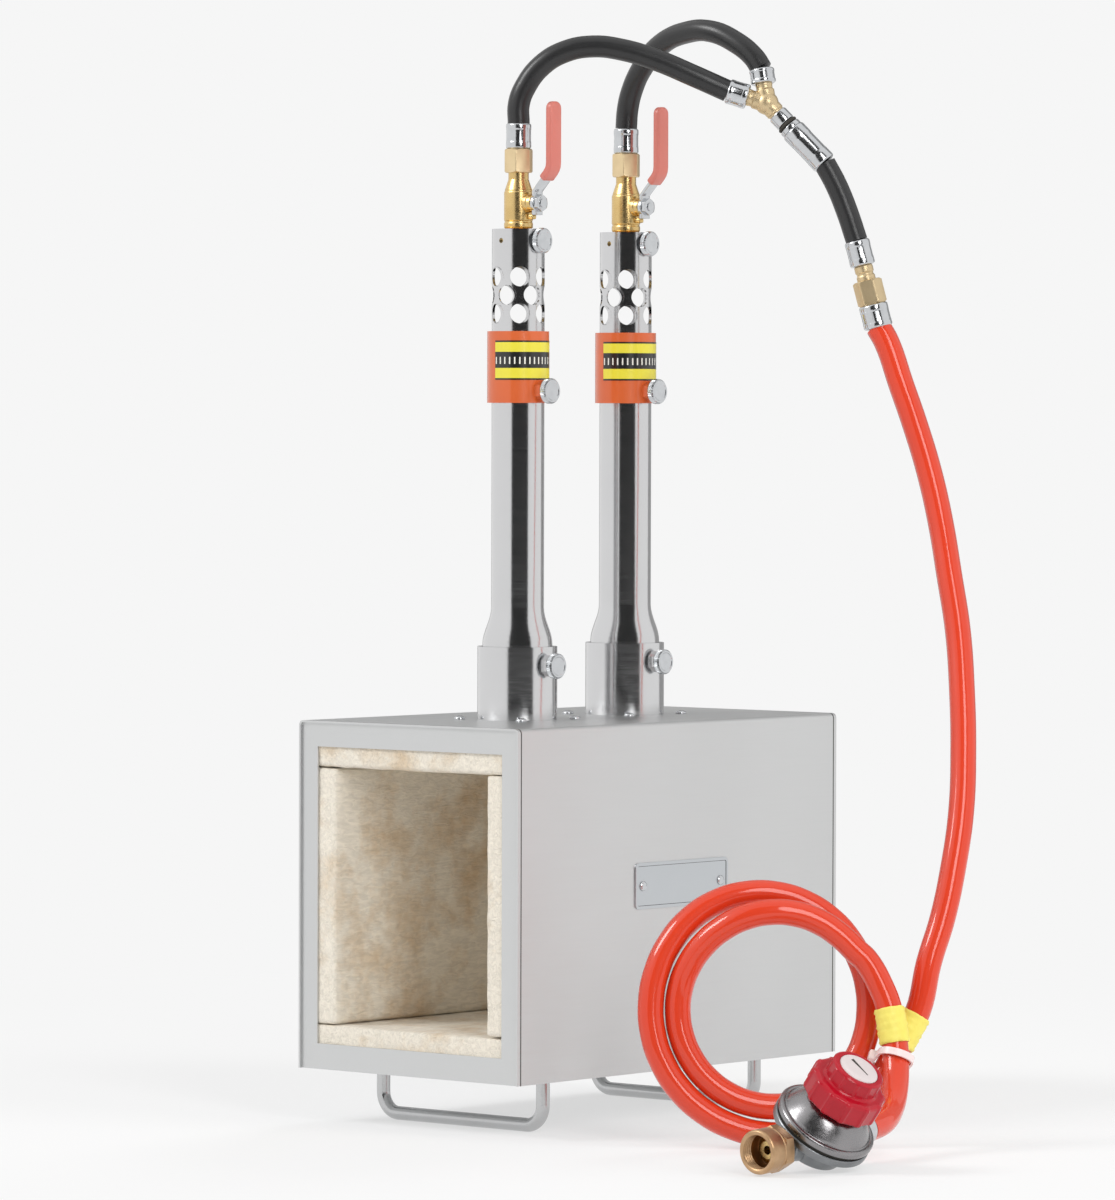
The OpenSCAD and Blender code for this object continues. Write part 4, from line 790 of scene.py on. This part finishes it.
class FORGE_OT_nuts(bpy.types.Operator):
    """Screws on the swivel nuts, the tail union and the brass block of the hoses"""

    bl_idname = "forge.nuts"
    bl_label = "Brass nuts and block"

    def execute(self, context):
        first = hexagon("front_swivel_nut", 8.75, 14, 5.05)
        second = copied(first, "rear_swivel_nut")
        for nut, y in zip((first, second), BURNERS.values()):
            settled(stood(nut, (0, y, ADAPTOR_TOP), turn=math.pi / 6), "tumbled_brass", "brass", "hose_nuts")
        union = hexagon("tail_union", 8.75, (U_B - U_A).length, 2.0)
        neck = turned("neck", [(2, -9), (5, -9), (5.5, -8.4), (5.5, -5), (4.9, -4.4), (4.9, -3.2), (5.5, -2.6),
                               (5.5, 0.2), (2, 0.2), (2, -9)], ease=0.3)
        settled(stood(joined(union, neck), U_A, UNION_WAY), "tumbled_brass", "brass", "hose_nuts")
        self.block()
        self.coupling()
        return {"FINISHED"}

    def block(self):
        """Forged block: a round core with a collared port towards each hose."""
        block = draw("brass_y_block", bpy.ops.mesh.primitive_uv_sphere_add, segments=48, ring_count=24,
                     radius=7 * MM)
        close(block)
        moved(block, Matrix.Translation(Y_AT * MM))
        for end in (F1_B, F2_B, T_A):
            l = (end - Y_AT).length
            port = turned("port", [(0, 0), (5.6, 0), (5.6, 7.6), (4.8, 8.2), (4.8, l - 1.6), (5, l - 1.4), (5, l),
                                   (0, l)], 40, 0.3)
            cut(block, stood(port, Y_AT, end - Y_AT), "UNION")
        settled(block, "tumbled_brass", "brass", "y_block")

    def coupling(self):
        """Plated coupling with a groove, a collar, and a dark ring in the groove."""
        l = (T_B - T_A).length
        body = turned("plated_coupling", [
            (2, 0), (5.4, 0), (6, 0.7), (6, l - 6), (5.2, l - 5.4), (5.2, l - 3.4), (6.7, l - 2.7), (6.7, l), (2, l),
            (2, 0)], ease=0.3)
        settled(stood(body, T_A, TAIL_WAY), "zinc_plated_steel", "ferrule_steel", "tail_coupling")
        turns = [math.tau * i / 12 for i in range(13)]
        ring = turned("coupling_ring", [(5.6 + 0.95 * math.cos(t), 0.95 * math.sin(t)) for t in turns], 48)
        settled(stood(ring, T_B - TAIL_WAY * 4.4, TAIL_WAY), "nitrile_sheet", "diaphragm_rubber")


class FORGE_OT_valves(bpy.types.Operator):
    """Builds the valve bodies, the cranked levers and their dipped grips"""

    bl_idname = "forge.valves"
    bl_label = "Ball valves"

    # The lever's and the grip's middle lines, from the valve's axis and the stem's height, the strip's thickness and
    # width, and the stem's hole, in millimetres
    LINE, GRIP = [(14.5, -7), (14.5, 7), (27, 20), (27, 58)], [(21.23, 14), (27, 20), (27, 59.2)]
    STRIP, STEM_R = (2.2, 7.5), 2.55

    def execute(self, context):
        for side, y in BURNERS.items():
            at, arm = Matrix.Translation(Vector((0, y, STEM_Z)) * MM), f"{side}_lever"
            settled(moved(self.body(f"{side}_brass_valve"), at), "turned_brass", "brass", f"{side}_valve_body")
            settled(moved(self.lever(f"{side}_lever_strip"), at), "zinc_plated_steel", "lever_steel",
                    f"{side}_valve_lever", body=arm)
            settled(moved(self.grip(f"{side}_vinyl_grip"), at), "dipped_red_vinyl", "grip_vinyl",
                    f"{side}_lever_grip", body=arm, smooth=60)
            nut = hexagon(f"{side}_plated_lever_nut", 5.2, 3, self.STEM_R, 0.6)
            settled(stood(nut, (15.6, y, STEM_Z), ALONG_X), "zinc_plated_steel", "valve_plating",
                    f"{side}_lever_nut", body=arm)
        return {"FINISHED"}

    def body(self, name):
        """Forged body about the stem's height: waisted barrel, stem boss with a collar, and a stop lug."""
        low, high = -15, 8
        body = turned(name, [
            (5, low), (7.5, low), (8.5, low + 1), (8.5, low + 3.4), (8.1, low + 3.9), (8.1, low + 4.6),
            (8.5, low + 5.1), (8.5, high - 1.4), (8.1, high - 0.9), (8.1, high), (6.3, high), (6.3, low + 8),
            (3.5, low + 8), (3.5, low + 6), (5, low + 6), (5, low)], ease=0.35)
        boss = turned("boss", [(0, 6.6), (5.6, 6.6), (5.6, 9.6), (5.25, 10), (5.25, 12.5), (4.75, 13), (0, 13)], 40,
                      0.25)
        cut(body, stood(boss, way=ALONG_X), "UNION")
        lug = bevelled(slab("lug", (7.6, -2, -9.4), (12.4, 2, -6.6)), 0.8, 3)
        cut(body, close(lug), "UNION")
        return cut(body, stood(peg("hole", self.STEM_R, 5, 14), way=ALONG_X))

    def lever(self, name):
        """Pressed strip with a round eye at the stem and eased edges."""
        strip = close(bevelled(bent_strip(name, self.LINE, *self.STRIP), 0.35, 2))
        eye = turned("eye", [(0, 13.4), (5.6, 13.4), (5.6, 15.6), (0, 15.6)], 40, 0.4)
        cut(strip, stood(eye, way=ALONG_X), "UNION")
        return cut(strip, stood(peg("hole", self.STEM_R, 12, 17), way=ALONG_X))

    def grip(self, name):
        """Dipped sleeve: a rounded tip, soft edges all round, and the strip's own room inside."""
        wide, near_tip = 9.9, 59.1
        grip = bent_strip(name, eased(self.GRIP, 3.5), 4.6, wide)
        bevelled(grip, 4.2, 8, lambda e: min(v.co.z for v in e.verts) > near_tip * MM and reach(e).y < 0.1)
        bevelled(grip, 1.3, 4, lambda e: e.calc_face_angle(0) > 0.6)
        return cut(close(grip), close(bent_strip("room", self.LINE, *self.STRIP)))


class FORGE_OT_thumbscrews(bpy.types.Operator):
    """Turns and knurls the six thumbscrews"""

    bl_idname = "forge.thumbscrews"
    bl_label = "Thumbscrews"

    # Height, tip and seat of each kind, in millimetres from the burner's axis
    KINDS = {"socket": (268.0, 20.8, 27.1), "sleeve": (429.0, 15.7, 21.8), "tube": (517.0, 14.2, 15.5)}

    def execute(self, context):
        teeth = context.scene.forge_sizes.knurls
        for kind, (z, tip, seat) in self.KINDS.items():
            first = self.screw(f"front_{kind}_knurled_screw", tip, seat, teeth)
            second = copied(first, f"rear_{kind}_knurled_screw")
            for screw, (side, y) in zip((first, second), BURNERS.items()):
                settled(stood(screw, (0, y, z), ALONG_X), "zinc_plated_steel", "thumbscrew_steel",
                        f"{side}_{kind}_thumbscrew", body=f"{side}_{kind}_screw", smooth=30)
        return {"FINISHED"}

    def screw(self, name, tip, seat, teeth):
        """Shank with thread ridges, a collar, and a head whose rim is knurled and whose face is dished."""
        head, r, t, core, crest, pitch = seat + 0.6, 7.5, 4.5, 2.7, 3.0, 0.9
        ridges = []
        for i in range(int((seat - tip) / pitch)):
            ridges += [(crest, tip + (i + 0.5) * pitch), (core, tip + (i + 1) * pitch)]
        outline = [(0, tip), (core - 0.5, tip), *ridges, (core, seat + 0.2), (4.2, seat + 0.2), (4.2, head),
                   (r - 0.9, head), (r, head + 0.9), (r, head + t - 0.9), (r - 0.9, head + t),
                   (r - 1.9, head + t), (r - 2.3, head + t - 0.25), (0, head + t - 0.25)]
        steps = teeth * 2
        screw = turned(name, outline, steps)
        pressed(screw, steps, 2, 0, r - 0.1, head, head + t, 0.95)
        return close(screw)


class FORGE_OT_fixings(bpy.types.Operator):
    """Sets the pan screws, the plate and its rivets"""

    bl_idname = "forge.fixings"
    bl_label = "Screws, plate and rivets"

    def execute(self, context):
        screw, square = self.pan_screw("pan_screw"), (-SCREW_SQUARE, SCREW_SQUARE)
        places = [(x, y + b, BOX_TOP) for b in BURNERS.values() for x in square for y in square]
        places += [(x, y, PAN_TOP) for x in (-LEG_SCREW[0], LEG_SCREW[0]) for y in (-LEG_SCREW[1], LEG_SCREW[1])]
        for i, place in enumerate(places):
            one = stood(copied(screw, f"pan_screw_{i + 1:02d}"), place, turn=i * 0.7)
            settled(one, "zinc_plated_steel", "small_screws", "pan_screws")
        bpy.data.objects.remove(screw)
        self.plate()
        rivet = turned("plate_rivet_1", [(0, 0.7), (3, 0.7), (2.9, 1.2), (2.2, 1.8), (1, 2.05), (0, 2.1)], 32, 0.3)
        for piece, y in ((copied(rivet, "plate_rivet_2"), RIVET_Y), (rivet, -RIVET_Y)):
            settled(stood(piece, (PLATE_X, y, PLATE_Z), ALONG_X), "zinc_plated_steel", "rivets", "plate_rivets")
        return {"FINISHED"}

    def pan_screw(self, name):
        """Pan head with a cross recess, on a plain shank."""
        screw = turned(name, [(0, -12), (1.5, -12), (1.9, -11.4), (1.9, 0), (3.3, 0), (3.3, 0.9), (2.6, 1.7),
                              (1.2, 2), (0, 2)], 32, 0.35)
        for a, b in ((1.7, 0.42), (0.42, 1.7)):
            cut(screw, close(slab("blade", (-a, -b, 0.8), (a, b, 3))))
        return screw

    def plate(self):
        """Thin plate with round corners and a low rim, left plain."""
        half_w, half_h, thick = 42.5, 13.5, 0.8
        plate = slab("blank_plate", (PLATE_X, -half_w, PLATE_Z - half_h), (PLATE_X + thick, half_w, PLATE_Z + half_h))
        bevelled(plate, 3, 6, lambda e: reach(e).x > 0.5)
        pick(plate, "faces", lambda f: f.normal.x > 0.9)
        bpy.ops.mesh.inset(thickness=0.25 * MM)
        bpy.ops.transform.translate(value=(0.15 * MM, 0, 0))
        bpy.ops.mesh.inset(thickness=1.6 * MM)
        bpy.ops.mesh.inset(thickness=0.3 * MM, depth=-0.3 * MM)
        settled(close(plate), "rolled_aluminium_plate", "plate", "name_plate", smooth=25)
        # The faces of the pressed groove take the dark material, as painted shade
        plate.data.materials.append(bpy.data.materials["pressed_line_grime"])
        for face in plate.data.polygons:
            x, y, z = face.center / MM
            face.material_index = int(abs(face.normal.x) < 0.9 and x > PLATE_X + 0.5 and abs(y) < half_w - 1.5
                                      and abs(z - PLATE_Z) < half_h - 1.5)


class FORGE_OT_labels(bpy.types.Operator):
    """Wraps the plain air scales round the choke sleeves"""

    bl_idname = "forge.labels"
    bl_label = "Air scales"

    def execute(self, context):
        s = context.scene.forge_sizes
        low = SLEEVE_LOW + s.label_low / MM
        high = low + s.label_h / MM
        # From just left of the photograph's view round to the far side of the lever, in degrees from +X
        start, sweep = -96.0, 138.0
        inner, outer = SLEEVE_R + 0.04, SLEEVE_R + 0.16
        for side, y in BURNERS.items():
            outline = [(inner, low), (outer, low), (outer, high), (inner, high), (inner, low)]
            label = turned(f"{side}_air_scale", outline, 60, whole=math.radians(sweep))
            moved(label, Matrix.Translation((0, y * MM, 0)) @ Matrix.Rotation(math.radians(start + sweep), 4, "Z"))
            settled(label, f"printed_air_scale_{side}", "choke_paint", body=f"{side}_choke")
        return {"FINISHED"}


class FORGE_OT_lining(bpy.types.Operator):
    """Felts the ceramic fibre lining"""

    bl_idname = "forge.lining"
    bl_label = "Fibre lining"

    def execute(self, context):
        for part in ("floor", "left", "right", "roof"):
            node = f"lining_{part}"
            low, high = (Vector(p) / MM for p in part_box(node))
            blanket = close(slab(f"fibre_{part}", low, high))
            if part == "roof":
                for y in BURNERS.values():
                    cut(blanket, stood(peg("port", 21.6, -2, 40, 48), (0, y, low.z)))
                    cut(blanket, close(slab("pocket", (-31, y - 31, 223), (31, y + 31, 240))))
            shaped(blanket, "REMESH", mode="VOXEL", voxel_size=2.6 * MM)
            felt = bpy.data.textures.new(f"felt_{part}", "CLOUDS")
            felt.noise_scale, felt.noise_depth = 14 * MM, 3
            shaped(blanket, "DISPLACE", texture=felt, texture_coords="GLOBAL", strength=1.3 * MM, mid_level=0.62)
            shaped(blanket, "SMOOTH", factor=0.5, iterations=1)
            settled(blanket, "ceramic_fibre_blanket", "fibre_blanket", node, smooth=80)
        return {"FINISHED"}


class FORGE_OT_bindings(bpy.types.Operator):
    """Winds the yellow tapes and pulls the cable tie round the strands of the red hose"""

    bl_idname = "forge.bindings"
    bl_label = "Tapes and tie"

    def execute(self, context):
        s = context.scene.forge_sizes
        l, r = s.tape_l / MM, s.red_d / MM / 2
        out_way = (OUT_MID[2] - OUT_MID[1]).normalized()
        for name, at, way in (("rear_strand_tape", LOOPS[0] + LOOP_IN_WAY * (LOOP_IN_L - l * 0.1), -LOOP_IN_WAY),
                              ("front_strand_tape", (OUT_MID[1] + OUT_MID[2] - out_way * l) / 2, out_way)):
            settled(stood(self.tape(name, l, r), at, way), "yellow_crepe_tape", "yellow_tape", "hose_tapes",
                    smooth=60)
        self.tie(r)
        return {"FINISHED"}

    def tape(self, name, l, r):
        """A crinkled wrap: the turns overlap in steps, and the skin buckles."""
        inner = r + 0.35
        outer = [(r + 0.9 + 0.35 * (i % 2) + 0.25 * math.sin(i * 2.1), l * i / 14) for i in range(15)]
        tape = turned(name, [(inner, 0), *outer, (inner, l), (inner, 0)], 72)
        buckle = bpy.data.textures.new(name, "CLOUDS")
        buckle.noise_scale, buckle.noise_depth = 3.2 * MM, 2
        return shaped(tape, "DISPLACE", texture=buckle, texture_coords="LOCAL", strength=0.9 * MM, mid_level=0.4)

    def tie(self, r):
        """Nylon band round two strands, with its ratchet head."""
        wide, thick, inner = 4.0, 1.3, r + 1.6
        a, b, a_way, b_way = LOOPS[0], OUT_MID[3], -LOOP_IN_WAY, (OUT_MID[4] - OUT_MID[2]).normalized()
        z = (a_way + b_way).normalized()
        half_rise = (b - a).dot(z) / 2
        p, q = a + a_way * half_rise / a_way.dot(z), b - b_way * half_rise / b_way.dot(z)
        x = (q - p).normalized()
        half = (q - p).length / 2
        at = Matrix.Translation((p + q) / 2 * MM) @ Matrix((x, z.cross(x), z)).transposed().to_4x4()
        tie = self.stadium("cable_tie_band", half, inner + thick, wide)
        cut(tie, self.stadium("inside", half, inner, wide + 4))
        head = bevelled(slab("head", (-3, inner + 0.4, -2.8), (3, inner + 4.6, 2.8)), 0.6, 3)
        cut(tie, close(head), "UNION")
        settled(moved(tie, at), "moulded_nylon", "white_tie", "cable_tie")

    def stadium(self, name, half, r, wide):
        """A flat prism with round ends, in millimetres."""
        turns = [math.radians(a) for a in range(-90, 91, 9)]
        end = [(half + r * math.cos(t), r * math.sin(t), -wide / 2) for t in turns]
        outline = end + [(-x, -y, z) for x, y, z in end]
        return close(prism(name, outline, (0, 0, wide)))


class FORGE_OT_regulator(bpy.types.Operator):
    """Builds the regulator: cast body, pressed bonnet, fluted knob with its cap, and the inlet nut"""

    bl_idname = "forge.regulator"
    bl_label = "Regulator"

    def execute(self, context):
        self.body()
        self.bonnet()
        self.knob()
        self.inlet()
        return {"FINISHED"}

    def body(self):
        """Cast bowl with a rolled rim and a boss for each port."""
        bowl = turned("cast_bowl", [
            (0, -21), (10.8, -21), (12, -20.6), (18, -17), (21.5, -9), (22.9, -6.9), (26, -6.2), (28.2, -5.6),
            (29, -4.7), (29, -1.4), (28.4, -0.8), (0, -0.8)], 96, 0.8)
        for way, l in ((-1, 29.5), (1, 30.5)):
            boss = turned("boss", [(0, 10), (9.8, 10), (9, 21), (9, l - 3.4), (8.4, l - 3), (8.4, l - 2),
                                   (9, l - 1.6), (9, l), (0, l)], 48, 0.5)
            cut(bowl, stood(boss, (0, 0, PORT_Z), (0, way, 0)), "UNION")
        settled(moved(bowl, REG_FRAME), "die_cast_zinc", "cast_zinc", "regulator_body")

    def bonnet(self):
        """Plated pressing: a rolled rim with a bead, a low dome and the knob's neck."""
        dome = [(25 - 11 * t, 6.2 + 10.3 * math.sin(t * math.pi / 2)) for t in (i / 10 for i in range(11))]
        bonnet = turned("plated_bonnet", [
            (21, 0.8), (28.4, 0.8), (29, 1.4), (29, 3.9), (28.3, 4.9), (27, 5.2), (26.3, 4.7), (25.6, 4.9),
            *dome, (14, 23.5), (13.5, 24), (6.1, 24), (6.1, 17), (12, 17), (14, 10), (21, 0.8)], 96, 0.35)
        settled(moved(bonnet, REG_FRAME), "plated_pressing", "cast_zinc", "regulator_bonnet", smooth=30)

    def knob(self):
        """Moulded knob: shallow flats round both tiers, a pale cap let into its top and a plain pointer."""
        steps = 144
        knob = turned("fluted_knob", [
            (0, 41.4), (11.7, 41.4), (11.7, 42), (14.2, 42), (15.5, 40.8), (15.5, 33.2), (16.6, 32.2), (20.4, 32),
            (22.1, 31), (22.5, 29.6), (22.5, 19.2), (21.6, 18), (15.5, 18), (15.5, 25.5), (6, 25.5), (6, 14.7),
            (9.5, 14.7), (9.5, 13.2), (0, 13.2)], steps, 0.5)
        # Twelve flats a tier, each pressed in over nine meridians of its twelve, least at its ends
        for off, depth in enumerate((0.95, 0.951, 0.954, 0.959, 0.967)):
            for place in sorted({off, -off % 12}):
                pressed(knob, steps, 12, place, 19.5, 17, 32.5, depth)
                pressed(knob, steps, 12, place, 15.2, 33.2, 41.2, depth)
        settled(moved(close(knob), REG_FRAME), "moulded_crimson_abs", "knob_plastic", "regulator_knob", body="knob",
                smooth=28)
        cap = turned("pale_cap", [(0, 43.2), (9, 43.1), (10.8, 42.7), (11.5, 41.9), (11.5, 41.4), (0, 41.4)], 64, 0.5)
        settled(moved(cap, REG_FRAME), "moulded_white_abs", "cap_plastic", "knob_cap", body="knob", smooth=40)
        mark = slab("knob_pointer", (-6.5, -0.9, 43.05), (6.5, 0.9, 43.35))
        pick(mark, "verts", lambda v: v.co.x > 6 * MM)
        bpy.ops.transform.resize(value=(1, 0.2, 1), center_override=(0, 0, 43.2 * MM))
        settled(moved(close(mark), REG_FRAME), "nitrile_sheet", "cap_plastic", body="knob")

    def inlet(self):
        """Inlet nut: a round mouth with a thread inside, then a hexagon, turning on the nipple."""
        pitch, root, bore = 1.6, 10.2, 9.5
        thread = []
        for i in range(5):
            z = 18.4 - i * pitch
            thread += [(bore, z), (bore, z - 0.3), (root, z - pitch / 2)]
        mouth = turned("mouth", eased([(6.05, 4), (6.05, 0.2), (11, 0.2), (11, 7), (12.4, 7), (12.4, 8), (12, 8.6),
                                       (12.4, 9.2), (12.4, 18), (11.6, 19), (10.5, 19)], 0.25)
                       + thread + [(10.3, 10.4), (10.3, 4), (6.05, 4)], 64)
        nut = hexagon("brass_inlet_nut", 13.4, 7.2, 10.9, 1.0)
        joined(nut, mouth)
        way = REG_TURN @ Vector((0, -1, 0))
        settled(stood(nut, REG_AT + REG_TURN @ Vector((0, -32, PORT_Z)), way), "aged_brass", "brass", "inlet_nut",
                body="inlet_nut")


class FORGE_OT_cords(bpy.types.Operator):
    """An empty step; it changes nothing"""

    bl_idname = "forge.cords"
    bl_label = "Cords"

    def execute(self, context):
        return {"FINISHED"}


class FORGE_PT_panel(bpy.types.Panel):
    """The forge's steps and what a user may change"""

    bl_idname = "FORGE_PT_panel"
    bl_label = "Gas forge"
    bl_space_type = "VIEW_3D"
    bl_region_type = "UI"
    bl_category = "Forge"

    def draw(self, context):
        for step in STEPS:
            self.layout.operator(step.bl_idname)
        for group in (context.scene.forge_colours, context.scene.forge_sizes):
            for key in group.__annotations__:
                self.layout.prop(group, key)


STEPS = (FORGE_OT_stage, FORGE_OT_finishes, FORGE_OT_hoses, FORGE_OT_ferrules, FORGE_OT_nuts, FORGE_OT_valves,
         FORGE_OT_thumbscrews, FORGE_OT_fixings, FORGE_OT_labels, FORGE_OT_lining, FORGE_OT_bindings,
         FORGE_OT_regulator, FORGE_OT_cords)
CLASSES = (ForgeColours, ForgeSizes, *STEPS, FORGE_PT_panel)


def register():
    """Registers the classes and hangs the settings on the scene."""
    for cls in CLASSES:
        bpy.utils.register_class(cls)
    bpy.types.Scene.forge_colours = PointerProperty(type=ForgeColours)
    bpy.types.Scene.forge_sizes = PointerProperty(type=ForgeSizes)


def unregister():
    """Takes the settings and the classes away again."""
    del bpy.types.Scene.forge_sizes, bpy.types.Scene.forge_colours
    for cls in reversed(CLASSES):
        bpy.utils.unregister_class(cls)


def main():
    """Runs the steps in order."""
    register()
    for step in STEPS:
        getattr(bpy.ops.forge, step.bl_idname.split(".")[1])()
    only(None)


if __name__ == "__main__":
    main()
